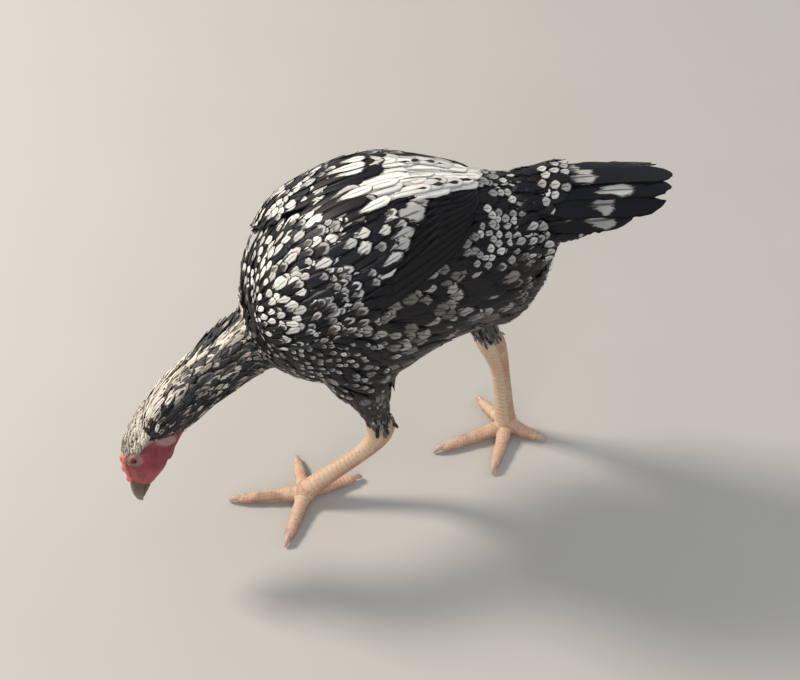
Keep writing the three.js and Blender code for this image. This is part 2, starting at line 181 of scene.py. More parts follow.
@dataclass
class Path:
    """A smooth line through points, measured by its length from the first one."""

    points: Rows
    samples: int = 60
    places: Array = field(init=False)
    lengths: Array = field(init=False)

    def __post_init__(self) -> None:
        """Samples the curve through the points, with the chords between them as its measure."""
        points = np.asarray(self.points, float)
        chords = np.r_[0, np.cumsum(np.linalg.norm(np.diff(points, axis=0), axis=1))]
        self.places = through(np.c_[chords, points], np.linspace(0, chords[-1], self.samples))
        self.lengths = np.r_[0, np.cumsum(np.linalg.norm(np.diff(self.places, axis=0), axis=1))]

    @property
    def length(self) -> float:
        """The length of the whole line."""
        return float(self.lengths[-1])

    def at(self, share: Value) -> Array:
        """The points at these shares of the length."""
        share = np.asarray(share, float) * self.length
        return np.stack([np.interp(share, self.lengths, axis) for axis in self.places.T], axis=-1)

    def along(self, share: Value) -> Array:
        """The directions of the line at these shares of the length."""
        share = np.asarray(share, float)
        return unit(self.at(np.minimum(share + 0.02, 1)) - self.at(np.maximum(share - 0.02, 0)))

    def nearest(self, places: Array) -> tuple[Array, Array]:
        """How points lie to the line.

        Args:
            places: The points.

        Returns:
            The share of the length of the nearest sample to each, and the distance to it.
        """
        gaps = np.linalg.norm(places[:, None] - self.places[None], axis=-1)
        nearest = gaps.argmin(axis=1)
        return self.lengths[nearest] / self.length, gaps[np.arange(len(places)), nearest]

    def ovals(self, share: Array, angle: Array, size: Array, up: Sequence[float]) -> Array:
        """Points on ovals that stand across the line.

        Args:
            share: Shares of its length.
            angle: Angles round the ovals there.
            size: Half widths and half heights there, along the last axis.
            up: The direction that height is measured near.

        Returns:
            The points.
        """
        along = self.along(share)
        across = unit(np.cross(np.asarray(up, float), along))
        wide, high = across * size[..., :1], np.cross(along, across) * size[..., 1:]
        return self.at(share) + (np.cos(angle)[..., None] * wide + np.sin(angle)[..., None] * high)


# ---- Forms --------------------------------------------------------------------------------------


def net(rows: int, columns: int, rings: bool = False) -> Array:
    """The squares between the points of a grid.

    Args:
        rows: Rows of points.
        columns: Points in a row.
        rings: Whether each row is a closed ring.

    Returns:
        The faces.
    """
    row, column = np.meshgrid(np.arange(rows - 1), np.arange(columns - (not rings)), indexing="ij")
    here, beside = row * columns, (column + 1) % columns
    after = here + columns
    return together(here + column, here + beside, after + beside, after + column).reshape(-1, 4)


@dataclass
class Form:
    """Points and faces. A face is four numbers of points, with the last two alike on a triangle."""

    places: Array
    faces: Array

    @staticmethod
    def joined(forms: Sequence["Form"]) -> "Form":
        """Several forms as one.

        Args:
            forms: The forms.

        Returns:
            One form with all their points and faces.
        """
        starts = np.cumsum([0] + [len(form.places) for form in forms[:-1]])
        faces = [form.faces + start for form, start in zip(forms, starts)]
        return Form(np.concatenate([form.places for form in forms]), np.concatenate(faces))

    def turned_out(self, middle: Value = 0.0) -> "Form":
        """The form with its faces turned over if most of them face the middle."""
        a, b, c = (self.places[self.faces[:, i]] - middle for i in range(3))
        return Form(self.places, self.faces[:, [1, 0, 3, 2]]) if (a * np.cross(b, c)).sum() < 0 else self

    def outward(self) -> Array:
        """The direction out of the form at each point: the sum of its faces' cross products.

        Returns:
            The directions.
        """
        a, b, c, d = (self.places[self.faces[:, i]] for i in range(4))
        normal = np.cross(c - a, d - b)
        total = np.zeros_like(self.places)
        for i in range(4):
            for axis in range(3):
                total[:, axis] += np.bincount(self.faces[:, i], normal[:, axis], len(total))
        return unit(total)

    def smoothed(self, turns: int) -> "Form":
        """The form with each point moved halfway to the mean of its neighbours.

        Args:
            turns: How often.

        Returns:
            The smoother form.
        """
        pairs = np.concatenate([self.faces[:, [i, (i + 1) % 4]] for i in range(4)])
        edges = np.unique(np.sort(pairs[pairs[:, 0] != pairs[:, 1]], axis=1), axis=0)
        start, end = np.concatenate([edges, edges[:, ::-1]]).T
        count = np.maximum(np.bincount(start, minlength=len(self.places)), 1)[:, None]
        places = self.places.copy()
        for _ in range(turns):
            sums = [np.bincount(start, places[end, axis], len(places)) for axis in range(3)]
            places += 0.5 * (np.stack(sums, axis=-1) / count - places)
        return Form(places, self.faces)


def tube(rings: Array) -> Form:
    """A closed tube of rings of points, with a point in the middle of each end ring.

    Args:
        rings: Points, as rings by sides by three.

    Returns:
        The form, with its faces turned outwards.
    """
    count, sides = rings.shape[:2]
    first, end = count * sides, (count - 1) * sides
    here = np.arange(sides)
    after = (here + 1) % sides
    lids = [together(after, here, first, first), together(end + here, end + after, first + 1, first + 1)]
    places = np.concatenate([rings.reshape(-1, 3), rings[[0, -1]].mean(axis=1)])
    return Form(places, np.concatenate([net(count, sides, True), *lids])).turned_out()


def swept(path: Path, section: Callable[[Array], Array], up: Sequence[float], rings: int, sides: int) -> Form:
    """A tube along a path, with ovals whose ends are closed round.

    Args:
        path: The line through its middle.
        section: Gives half the width and half the thickness for shares of the length.
        up: The direction that thickness is measured near.
        rings: The number of rings.
        sides: The number of points round each.

    Returns:
        The form.
    """
    share = crowded(0, 1, rings)
    return tube(path.ovals(share[:, None], around(sides), section(share)[:, None], up))


def ball(middle: Array, axes: Array, radii: Sequence[float], rings: int = 24, sides: int = 32) -> Form:
    """A ball with three radii along three axes.

    Args:
        middle: Its centre.
        axes: Three directions, one a row.
        radii: The radius along each.
        rings: The number of rings from pole to pole, along the first axis.
        sides: The number of points round each.

    Returns:
        The form.
    """
    polar, angle = np.linspace(0.02, np.pi - 0.02, rings)[:, None], around(sides)
    local = together(np.cos(polar), np.sin(polar) * np.cos(angle), np.sin(polar) * np.sin(angle))
    return tube(np.asarray(middle) + (local * np.asarray(radii)) @ np.asarray(axes))


def paint(piece: Piece, name: str, *values: Value) -> None:
    """Stores four numbers for each point of a piece, as a colour attribute."""
    attribute = piece.data.attributes.new(name, "FLOAT_COLOR", "POINT")
    attribute.data.foreach_set("color", together(*values).astype(np.float32).ravel())


@dataclass
class Workshop:
    """Turns forms in the bird's frame into meshes in the CAD frame."""

    shift: Array

    @classmethod
    def from_frame(cls) -> "Workshop":
        """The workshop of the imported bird: the trunk is even in y, and starts at a known x."""
        low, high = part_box("trunk")
        return cls(np.array([low.x / MM - Torso().stations[0][0], (low.y + high.y) / 2 / MM, 0.0]))

    def to_frame(self, places: Array) -> Array:
        """Points in millimetres of the bird's frame as metres of the CAD frame."""
        return (places + self.shift) * MM

    def read(self, piece: Piece) -> Array:
        """The points of a piece after its modifiers, in millimetres of the bird's frame.

        Args:
            piece: The piece.

        Returns:
            The points.
        """
        mesh = piece.evaluated_get(bpy.context.evaluated_depsgraph_get()).data
        places = np.zeros(len(mesh.vertices) * 3, np.float32)
        mesh.vertices.foreach_get("co", places)
        return places.reshape(-1, 3).astype(float) / MM - self.shift

    def piece(self, name: str, form: Form, finishes: Sequence[Material] = ()) -> Piece:
        """A smooth-shaded object in the scene.

        Args:
            name: Its name.
            form: Its points and faces.
            finishes: Its materials.

        Returns:
            The object.
        """
        mesh = bpy.data.meshes.new(name)
        mesh.vertices.add(len(form.places))
        mesh.vertices.foreach_set("co", self.to_frame(form.places).astype(np.float32).ravel())
        used = np.ones(form.faces.shape, bool)
        used[:, 3] = form.faces[:, 2] != form.faces[:, 3]
        sizes = used.sum(axis=1)
        mesh.loops.add(int(sizes.sum()))
        mesh.loops.foreach_set("vertex_index", form.faces[used].astype(np.int32))
        mesh.polygons.add(len(sizes))
        mesh.polygons.foreach_set("loop_start", (np.cumsum(sizes) - sizes).astype(np.int32))
        mesh.polygons.foreach_set("use_smooth", np.ones(len(sizes), bool))
        mesh.update(calc_edges=True)
        for finish in finishes:
            mesh.materials.append(finish)
        piece = bpy.data.objects.new(name, mesh)
        bpy.context.scene.collection.objects.link(piece)
        return piece

    def shrunk(self, forms: Sequence[Form], voxel: float) -> Form:
        """The outer surface of overlapping closed forms, as one net of even squares.

        Args:
            forms: The closed forms.
            voxel: The size of a square.

        Returns:
            The net, made by a voxel remesh.
        """
        piece = self.piece("rough", Form.joined(forms))
        remesh = piece.modifiers.new("Remesh", "REMESH")
        remesh.mode, remesh.voxel_size = "VOXEL", voxel * MM
        places = self.read(piece)
        loops = piece.evaluated_get(bpy.context.evaluated_depsgraph_get()).data.loops
        corners = np.zeros(len(loops), np.int32)
        loops.foreach_get("vertex_index", corners)
        bpy.data.objects.remove(piece)
        return Form(places, corners.reshape(-1, 4))


@dataclass
class Ground:
    """The skin, as something that points can be laid on."""

    workshop: Workshop
    skin: Piece

    def lay(self, places: Array) -> tuple[Array, Array]:
        """The nearest points of the skin, and the directions out of it there."""
        on = self.wrapped(places, "ON_SURFACE", 0.0)
        return on, unit(self.wrapped(places, "ABOVE_SURFACE", 1.0) - on)

    def wrapped(self, places: Array, mode: str, offset: float) -> Array:
        """Points moved to the skin by a shrinkwrap.

        Args:
            places: The points.
            mode: The shrinkwrap's mode.
            offset: How far above the skin, in millimetres.

        Returns:
            The moved points.
        """
        cloud = self.workshop.piece("points", Form(places, np.zeros((0, 4), int)))
        wrap = cloud.modifiers.new("Shrinkwrap", "SHRINKWRAP")
        wrap.target, wrap.wrap_method = self.skin, "NEAREST_SURFACEPOINT"
        wrap.wrap_mode, wrap.offset = mode, offset * MM
        moved = self.workshop.read(cloud)
        bpy.data.meshes.remove(cloud.data)
        return moved


# ---- The body under the coat --------------------------------------------------------------------


@dataclass
class Torso:
    """The trunk: ovals along x with a rise and a depth of their own."""

    # x, height of the middle, half width, rise, depth
    stations: Rows = (
        (-129, 222, 5, 4, 5), (-126, 226, 20, 20, 16), (-119, 233, 42, 36, 43), (-98, 238, 59, 64, 76),
        (-60, 243, 68, 84, 98), (-20, 245, 69, 91, 104), (20, 248, 62, 87, 80), (55, 250, 53, 76, 74),
        (90, 253, 43, 67, 76), (110, 261, 31, 57, 49), (124, 272, 18, 38, 20),
    )
    coat: float = 6.5  # depth of the coat over the skin
    # the flesh that the tail grows on, stated the same way, and the line of the ridge between the wings
    tail: Rows = ((96, 279, 21, 33, 32), (126, 284, 19, 23, 22), (144, 284, 13, 13, 11), (156, 283, 5, 6, 5))
    mantle: Rows = ((-112, 0, 262), (-100, 0, 284), (-78, 0, 306), (-58, 0, 317), (-20, 0, 325), (15, 0, 325))

    def at(self, x: Array, angle: Array, out: Value = 0.0) -> Array:
        """Points on the trunk's coat.

        The oval's half width takes the cosine of the angle, its rise or depth the sine.

        Args:
            x: Places along the body.
            angle: Angles in radians up from the left side.
            out: How far outside the oval.

        Returns:
            The points.
        """
        middle, width, rise, depth = np.moveaxis(through(self.stations, x), -1, 0)
        height = np.maximum(np.where(np.sin(angle) > 0, rise, depth) + out, 0.6)
        return together(x, -np.maximum(width + out, 0.6) * np.cos(angle), middle + height * np.sin(angle))

    def tubes(self, rings: int, out: float = 0.0) -> Form:
        """The trunk as a closed form, its ends drawn in with the rest."""
        x = crowded(self.stations[0][0] - out * 0.6, self.stations[-1][0] + out * 0.6, rings)
        return tube(self.at(x[:, None], around(64), out))

    def forms(self) -> list[Form]:
        """The trunk without its coat, the ridge between the wings, and the flesh of the tail.

        Returns:
            The three forms.
        """

        def size(share: Array) -> Array:
            """Half the width and height of the ridge."""
            return np.sin(np.pi * (0.3 + 0.6 * share))[:, None] * (18, 9)

        ridge = swept(Path(self.mantle), size, (0, 0, 1), 30, 24)
        return [self.tubes(40, -self.coat), ridge, Torso(self.tail).tubes(16)]


@dataclass
class Neck:
    """The neck: a tube from inside the trunk to the nape."""

    points: Rows = (
        (-90, -4, 211), (-121, -12, 203), (-149, -22, 194), (-180, -34, 181), (-203, -42, 164),
        (-214, -41, 151),
    )
    # share of the line, half thickness across and through
    stations: Rows = ((0, 30, 32), (0.3, 27, 26), (0.6, 25, 23.5), (0.85, 23.5, 22.5), (1, 15, 15))
    coat: float = 4.5
    line: Path = field(init=False)

    def __post_init__(self) -> None:
        """Draws the line through the points."""
        self.line = Path(self.points)

    def form(self) -> Form:
        """The neck without its coat."""
        return swept(self.line, lambda t: through(self.stations, t) - self.coat, (0, 0, 1), 34, 44)


@dataclass
class Head:
    """The head, in a frame of its own: back from the bill's tip, up from the mouth line, to the left."""

    tip: Triple = (-233, -60, 89)
    forward: Triple = (-0.301, -0.387, -0.871)
    up: Triple = (-0.932, -0.072, 0.354)
    # back, half width, rise, depth
    stations: Rows = (
        (15, 4.5, 6.5, 6.5), (19, 8.5, 10, 9), (28, 12.5, 14.8, 14.5), (40, 15.5, 19.8, 18.5),
        (52, 17, 20.8, 22), (62, 17.5, 18.5, 25.5), (72, 17, 14.5, 24), (82, 14, 10.5, 17),
    )
    # back, and the rise below which the face is bare
    border: Rows = (
        (26, 30), (31, 21.5), (35, 16), (39, 13), (44, 11), (48, 11), (54, 9), (62, 0), (67, -8), (73, -30),
    )
    eye: Triple = (41.5, 13.2, 7.8)  # back, rise and how far out
    eye_radii: Triple = (5.2, 3.6, 3.6)
    lid: Triple = (3.95, 3.2, 1.2)  # reach round the eye, height over its middle, thickness
    # back, rise and how far out, then three radii: the cheek, ear lobe, corner of the bill and chin
    lumps: Rows = (
        (46, 2.0, 13.8, 11, 7.5, 2.6), (62.5, -9, 16.6, 5.0, 7.5, 1.3),
        (30, 5.5, 9.3, 7, 4, 2.6), (48, -18.0, 3.0, 10, 3.0, 2.4),
    )
    throat: Sequence[float] = (66, -23.5, 0, 10, 4.2, 3.2)

    def axes(self) -> Array:
        """The head's directions back, up and left, one a row.

        Returns:
            The directions.
        """
        forward = unit(np.array(self.forward))
        left = unit(np.cross(np.array(self.up), forward))
        return np.stack([-forward, np.cross(forward, left), left])

    def at(self, local: Array) -> Array:
        """Points given as back, rise and left, in the bird's frame."""
        return np.asarray(self.tip, float) + np.asarray(local, float) @ self.axes()

    def local(self, places: Array) -> Array:
        """Points of the bird's frame as back, rise and left."""
        return (places - np.asarray(self.tip, float)) @ self.axes().T

    def from_eye(self, local: Array) -> Array:
        """How far points are from the eye, seen from the side."""
        return np.hypot(local[:, 0] - self.eye[0], local[:, 1] - self.eye[1])

    def bare(self, local: Array) -> Array:
        """How bare the skin is: 1 on the face and throat, 0 under feathers.

        Args:
            local: Points as back, rise and left.

        Returns:
            The bareness, from 0 to 1.
        """
        line = through(self.border, local[:, 0])[:, 0]
        face = ease(1.5, -1.0, local[:, 1] - line) * ease(72, 67, local[:, 0])
        return np.maximum(face, ease(5.8, 5.2, self.from_eye(local)) * ease(3, 6, np.abs(local[:, 2])))

    def tones(self, local: Array) -> Array:
        """What the finish of the bare head needs to know.

        Args:
            local: Points as back, rise and left.

        Returns:
            Four columns: the bareness, the pale ear lobe, the pale rim of the eye, and the pink front.
        """
        level = np.abs(local) * np.array([1.0, 0, 1]) + local * np.array([0, 1.0, 0])
        lobe = np.linalg.norm((level - np.array([62.5, -8.5, 16.0])) * (1.1, 0.62, 0.8), axis=1)
        rim = ease(6.6, 5.0, self.from_eye(local)) * ease(3, 6, np.abs(local[:, 2]))
        return together(self.bare(local), ease(8.0, 4.0, lobe), rim, ease(40, 24, local[:, 0]))

    def oval(self, back: Array, angle: Array, out: float = 0.0) -> Array:
        """Points round the head.

        Args:
            back: Distances back.
            angle: Angles in radians up from its left side.
            out: How far outside the bare head.

        Returns:
            The points.
        """
        width, rise, depth = np.moveaxis(through(self.stations, back), -1, 0)
        height = (rise - depth) / 2 + ((rise + depth) / 2 + out) * np.sin(angle)
        return self.at(together(back, height, (width + out) * np.cos(angle)))

    def eye_axis(self, side: int) -> Array:
        """The direction that an eye looks in: out, a little forward and up."""
        return unit(np.array([-0.2, 0.16, -side * 1.0]))

    def eye_middle(self, side: int) -> Array:
        """The middle of an eye, as back, rise and left."""
        return np.array(self.eye) * (1, 1, -side)

    def eye_frame(self, side: int) -> tuple[Array, Array]:
        """The frame of an eye.

        Args:
            side: The sign of y of its side.

        Returns:
            Its middle in the bird's frame, and its direction out and two across, one a row.
        """
        axis = unit(self.eye_axis(side) @ self.axes())
        beside = unit(np.cross(axis, self.axes()[0]))
        return self.at(self.eye_middle(side)), np.stack([axis, beside, np.cross(axis, beside)])

    def lid_form(self, side: int) -> Form:
        """The fleshy ring round an eye: a torus on the eyeball, a little longer than high.

        Args:
            side: The sign of y of the eye's side.

        Returns:
            The ring.
        """
        axis = self.eye_axis(side)
        back = unit(np.array([1.0, 0.15, 0.0]) - axis * axis[0])
        turn, section = around(48)[:, None], around(14)
        reach = self.lid[0] + self.lid[2] * np.cos(section)
        height = self.lid[1] + self.lid[2] * np.sin(section)
        local = self.eye_middle(side) + (reach * np.cos(turn))[..., None] * back
        local = local + (reach * 0.92 * np.sin(turn))[..., None] * np.cross(axis, back)
        local = (local + height[..., None] * axis).reshape(-1, 3)
        faces = net(49, 14, True)[:, [0, 3, 2, 1]] % len(local)
        return Form(self.at(local), faces).turned_out(self.at(self.eye_middle(side) + self.lid[1] * axis))

    def lump(self, side: int, back: float, rise: float, out: float, *radii: float) -> Form:
        """A soft lump of the face, an oval ball along the head's own directions."""
        return ball(self.at(np.array([back, rise, -side * out])), self.axes(), radii, 20, 24)

    def form(self, workshop: Workshop) -> Form:
        """The bare head: its ovals, lids, lobes and throat, joined and then creased.

        Args:
            workshop: Joins the forms.

        Returns:
            The net of the head.
        """
        back = crowded(self.stations[0][0], self.stations[-1][0], 60)
        forms = [tube(self.oval(back[:, None], around(72), -0.4))]
        for side in SIDES.values():
            middle, frame = self.eye_frame(side)
            forms += [self.lid_form(side), ball(middle + frame[0], frame, (2.6, 4.9, 4.9), 20, 24)]
            forms += [self.lump(side, *lump) for lump in self.lumps]
        forms.append(self.lump(1, *self.throat))
        skin = workshop.shrunk(forms, 0.62).smoothed(5)
        return Form(skin.places + skin.outward() * self.creases(self.local(skin.places))[:, None], skin.faces)

    def creases(self, local: Array) -> Array:
        """How far the skin of the head is raised: folds round the eye, the gape, pimples and wrinkles.

        Args:
            local: Points as back, rise and left.

        Returns:
            The heights, in millimetres.
        """
        side = np.where(local[:, 2] > 0, 1.0, -1.0)
        reach, back = self.from_eye(local), local[:, 0]
        rings = 0.3 * bell(reach - 7.4, 0.6) - 0.45 * bell(reach - 6.4, 0.5) - 0.35 * bell(reach - 8.6, 0.7)
        mouth = local[:, 1] + 0.6 + 0.28 * np.maximum(back - 18, 0)
        gape = 0.5 * bell(mouth - 1.6, 0.9) * ease(36, 30, back)
        gape = gape - 1.3 * bell(mouth, 0.75) * ease(34, 30, back)
        folds = mottle(local * np.array([0.10, 0.42, 0.10]) + side[:, None] * 7, 3)
        pimples = np.maximum(mottle(local / 1.5, 5), 0) ** 1.5 + 0.5 * np.maximum(mottle(local / 0.85, 6), 0)
        raised = ease(3, 7, np.abs(local[:, 2])) * (rings + gape) + 0.4 * folds + 0.24 * pimples
        return self.bare(local) * raised


@dataclass
class Wing:
    """A folded wing, as a shell on the trunk's side from the shoulder to the tips over the rump."""

    torso: Torso
    side: int
    # share of its length, x, top edge and lower edge in degrees up from the side, thickness
    stations: Rows = (
        (0, -118, 56, 22, 3), (0.08, -112, 70, 8, 7), (0.22, -92, 80, 5, 9), (0.43, -56, 84, 12, 9),
        (0.65, -16, 86, 24, 7), (0.85, 24, 87, 39, 4), (1, 54, 88, 62, 1.5),
    )
    edge: float = 3.4  # height of its edge over the trunk's coat
    back: float = 0.0  # how much further back and flatter its shoulder lies

    def at(self, along: Array, across: Array, out: Value = 0.0) -> Array:
        """Points of the wing: on the trunk, then moved out along the trunk's own outward direction.

        Args:
            along: Shares of the wing's length.
            across: Shares of the way from its top edge to its lower one.
            out: How far out from the trunk.

        Returns:
            The points.
        """
        x, angle = self.on_trunk(along, across)
        here, torso = self.torso.at(x, angle), self.torso
        outward = facing(here, torso.at(x + 1.0, angle), torso.at(x, angle + 0.01), self.middle(x))
        return (here + outward * np.asarray(out, float)[..., None]) * np.array([1, -self.side, 1])

    def middle(self, x: Array) -> Array:
        """Points in the middle of the trunk."""
        return together(x, 0, through(self.torso.stations, x)[..., 0])

    def on_trunk(self, along: Array, across: Array) -> tuple[Array, Array]:
        """Where places of the wing are on the trunk.

        Args:
            along: Shares of the wing's length.
            across: Shares of the way from its top edge to its lower one.

        Returns:
            The trunk's x and angle.
        """
        x, top, low, _ = np.moveaxis(through(self.stations, along), -1, 0)
        beyond = np.maximum(np.asarray(along, float) - 1, 0) * 170 + self.back * ease(0.5, 0.0, along)
        return x + beyond, np.radians(top + (low - top) * across)

    def swell(self, along: Array, across: Array) -> Array:
        """How far the wing stands out from the trunk: full in its middle, thin towards its edges.

        Args:
            along: Shares of the wing's length.
            across: Shares of the way from its top edge to its lower one.

        Returns:
            The distances.
        """
        middle = through(self.stations, along)[..., 3] - 0.5 * self.back * ease(0.7, 0.3, along)
        start = np.sin(np.pi * np.minimum(1, along * 4 + 0.15) * 0.5)
        return self.edge - 0.15 * self.back + middle * np.sin(np.pi * np.clip(across, 0, 1)) ** 0.6 * start

    def covers(self, x: Array, angle: Array) -> Array:
        """Which places of the trunk lie well under the wing.

        Args:
            x: Places along the trunk.
            angle: Angles in radians up from the trunk's left side.

        Returns:
            True where the wing covers them.
        """
        table = np.asarray(self.stations, float)
        _, top, low, _ = np.moveaxis(through(table, np.interp(x, table[:, 1], table[:, 0])), -1, 0)
        across = (np.degrees(np.arcsin(np.sin(angle))) - top) / (low - top)
        mine = (np.cos(angle) * -self.side > 0) & (x > table[0, 1] + 4) & (x < 40)
        return mine & (across > -0.08) & (across < 0.9)

    def pad(self) -> Form:
        """The flesh of the wing, under its coverts.

        Returns:
            A closed shell.
        """
        grid = np.meshgrid(crowded(0.03, 0.8, 30), np.linspace(0.06, 0.9, 24), indexing="ij")
        outer = self.at(*grid, self.swell(*grid) * 0.5 - 2.0)
        inner = self.at(*grid, np.full_like(grid[0], -9.0))
        return tube(np.concatenate([outer, inner[:, ::-1]], axis=1))


@dataclass
class Leg:
    """One leg: the feathered thigh, the bare shank and four toes with claws."""

    side: int
    knee: Triple
    hock: Triple
    foot: Triple
    toes: dict[str, tuple[float, float]]  # the angle that each points at, and its length with the claw
    # share of the line, half thickness across and through
    thigh: Rows = (
        (0, 8, 12), (0.05, 15, 22), (0.16, 21, 30), (0.36, 22, 29), (0.62, 18, 20), (0.85, 13, 13.5),
        (1, 11, 12),
    )
    shank: Rows = (
        (0, 8.6, 10.6), (0.1, 9.4, 11.8), (0.2, 8.6, 10.6), (0.34, 7.1, 8.6), (0.75, 6.9, 8.0),
        (0.92, 8.2, 8.6), (1, 8.6, 8.6),
    )
    coat: float = 3.0
    ball: float = 9.8
    toe_radius: tuple[float, float] = (6.9, 4.2)
    joints: dict[str, int] = field(default_factory=lambda: {"inner": 3, "middle": 4, "outer": 5, "hind": 2})
    claw: float = 9.0
    hind: tuple[float, float] = (15.0, 5.0)  # height and reach of the hind toe's root

    @classmethod
    def pair(cls) -> dict[str, "Leg"]:
        """The two legs of this stride, the left one ahead.

        Returns:
            The legs by side.
        """
        left = {"inner": (90, 46), "middle": (171, 67), "outer": (241, 56), "hind": (11, 49)}
        right = {"inner": (241, 54), "middle": (189, 72), "outer": (113, 46), "hind": (326, 33)}
        return {
            "left": cls(-1, (-54, -46, 226), (-25, -26, 84), (-92, -22, 9), left),
            "right": cls(1, (34, 42, 236), (83, 22, 110), (98, 12, 9), right),
        }

    def down(self, *shares: float) -> list[Array]:
        """Points between the knee, at 0, and the hock, at 1."""
        knee, hock = np.array(self.knee, float), np.array(self.hock, float)
        return [knee + share * (hock - knee) for share in shares]

    def thigh_line(self) -> Path:
        """The line of the feathered part, down to its hem over the hock."""
        return Path(np.stack(self.down(0, 0.5, 0.95)))

    def thigh_form(self) -> Form:
        """The thigh without its coat."""
        return swept(self.thigh_line(), lambda t: through(self.thigh, t) - self.coat, (1, 0, 0), 36, 40)

    def shank_line(self) -> Path:
        """The line of the shank, from inside the thigh to the ball of the foot."""
        return Path(np.stack([*self.down(0.9, 1), np.array(self.foot, float)]))

    def toe_way(self, name: str) -> Array:
        """The level direction that a toe points in."""
        angle = math.radians(self.toes[name][0])
        return np.array([math.cos(angle), math.sin(angle), 0])

    def toe_line(self, name: str) -> Path:
        """The line of a toe: out from the foot, low over the floor.

        Args:
            name: Which toe.

        Returns:
            The line, without the claw.
        """
        foot, length = np.array(self.foot, float), self.toes[name][1] - self.claw
        height, reach = self.hind if name == "hind" else (foot[2], 0.0)
        steps = ((0.35, 6.0), (0.7, 5.0), (1.0, 4.4))
        out = [self.toe_way(name) * (reach + share * length) + (0, 0, rise) for share, rise in steps]
        return Path(np.stack([(0, 0, height), *out]) + foot * (1, 1, 0))

    def toe_size(self, name: str, share: Array) -> Array:
        """Half the width and height of a toe, with a swelling at each joint.

        Args:
            name: Which toe.
            share: Shares of its length.

        Returns:
            The sizes, as two columns.
        """
        root, tip = self.toe_radius
        pads = 1 + 0.055 * np.cos(2 * np.pi * self.joints[name] * share)
        radius = (root + (tip - root) * share) * pads * (1 - 0.35 * ease(0.93, 1.02, share))
        return radius[:, None] * np.array([1.0, 0.96])

    def bare_form(self, workshop: Workshop) -> tuple[Form, Array]:
        """The bare shank and toes as one net, scaled and flat under its soles.

        Args:
            workshop: Joins the forms.

        Returns:
            The net, and the numbers of its scales.
        """
        forms = [swept(self.shank_line(), lambda t: through(self.shank, t), (1, 0, 0), 60, 36)]
        forms.append(ball(self.foot, np.eye(3), [self.ball] * 3))
        for name in self.toes:
            line = self.toe_line(name)
            forms.append(swept(line, lambda t, n=name: self.toe_size(n, t), (0, 0, 1), 44, 26))
            for share in np.arange(1, self.joints[name]) / self.joints[name]:
                radius = float(self.toe_size(name, np.array([share]))[0, 0])
                pad = (radius * 0.95, radius * 0.8, radius * 0.6)
                forms.append(ball(line.at(share) - (0, 0, 2.4), np.eye(3), pad, 14, 18))
        skin = workshop.shrunk(forms, 0.82).smoothed(3)
        scales = self.scales(skin.places)
        plate = 0.25 + 0.55 * scales[:, 0] - 0.8 * ease(0.84, 1.0, scales[:, 0])
        places = skin.places + skin.outward() * (scales[:, 1] * plate)[:, None]
        places[:, 2] = np.maximum(places[:, 2], 0)
        return Form(places, skin.faces), scales

    def scales(self, places: Array) -> Array:
        """The broad scales down the front of the shank and over the toes.

        Each point belongs to the nearest of five lines. Its length along the line over the pitch of the
        scales gives its share of one scale, and the shank's two columns are half a scale apart.

        Args:
            places: Points of the leg.

        Returns:
            Four columns: share of a scale's length, plate weight, a number from 0 to 1 for each scale,
            and 1 on the toes.
        """
        lines = [self.shank_line()] + [self.toe_line(name) for name in self.toes]
        found = [line.nearest(places) for line in lines]
        nearest = np.stack([gap for _, gap in found]).argmin(axis=0)
        result = np.zeros((len(places), 4))
        for number, line in enumerate(lines):
            mine, shank = nearest == number, number == 0
            share, (pitch, wide) = found[number][0][mine], (4.6, 1.75) if shank else (3.5, 1.35)
            along, away = line.along(share), places[mine] - line.at(share)
            front = self.toe_way("middle") if shank else np.array([0, 0, 1.0])
            front = unit(front - along * (along @ front)[:, None])
            radial = unit(away)
            turn = np.arctan2((radial * np.cross(along, front)).sum(1), (radial * front).sum(1))
            column = (turn > 0) & shank
            phase = (share * line.length + (away * along).sum(1)) / pitch + 0.5 * column
            phase = phase + 0.13 * np.cos(turn * 2)
            plate = ease(wide, wide - 0.35, np.abs(turn)) * (1 - 0.8 * bell(turn, 0.07) * shank)
            chance = np.abs(np.sin(np.floor(phase) * 12.9898 + column * 4.1 + number * 7.7)) * 437.58
            result[mine] = together(phase - np.floor(phase), plate, np.modf(chance)[0], not shank)
        return result

    def claw_form(self, name: str) -> Form:
        """A claw: a tapering tube that bends from the toe's end to the floor.

        Args:
            name: Which toe.

        Returns:
            The claw, blunt as on a bird that walks on hard ground.
        """
        line = self.toe_line(name)
        end, away = line.at(0.93), line.along(1.0) * (1, 1, 0)
        away = away / np.linalg.norm(away)
        reach = 0.07 * line.length + self.claw
        middle = end + away * reach * 0.5 + (0, 0, 0.9)
        points = np.stack([end + (0, 0, 0.4), middle, end + away * (reach - 0.6)])
        points[2, 2] = 1.5

        def size(share: Array) -> Array:
            """Half width and height: full at the root, blunt at the tip."""
            return (3.5 * (1 - share**1.7) ** 0.62 + 0.3)[:, None] * np.array([0.78, 1.0])

        form = swept(Path(points), size, (0, 0, 1), 26, 24)
        form.places[:, 2] = np.maximum(form.places[:, 2], 0.05)
        return form


class Region(Enum):
    """The parts of the skin that look different, in the order of its materials."""

    UNDER_COAT = 0
    FACE = 1
    LEG = 2


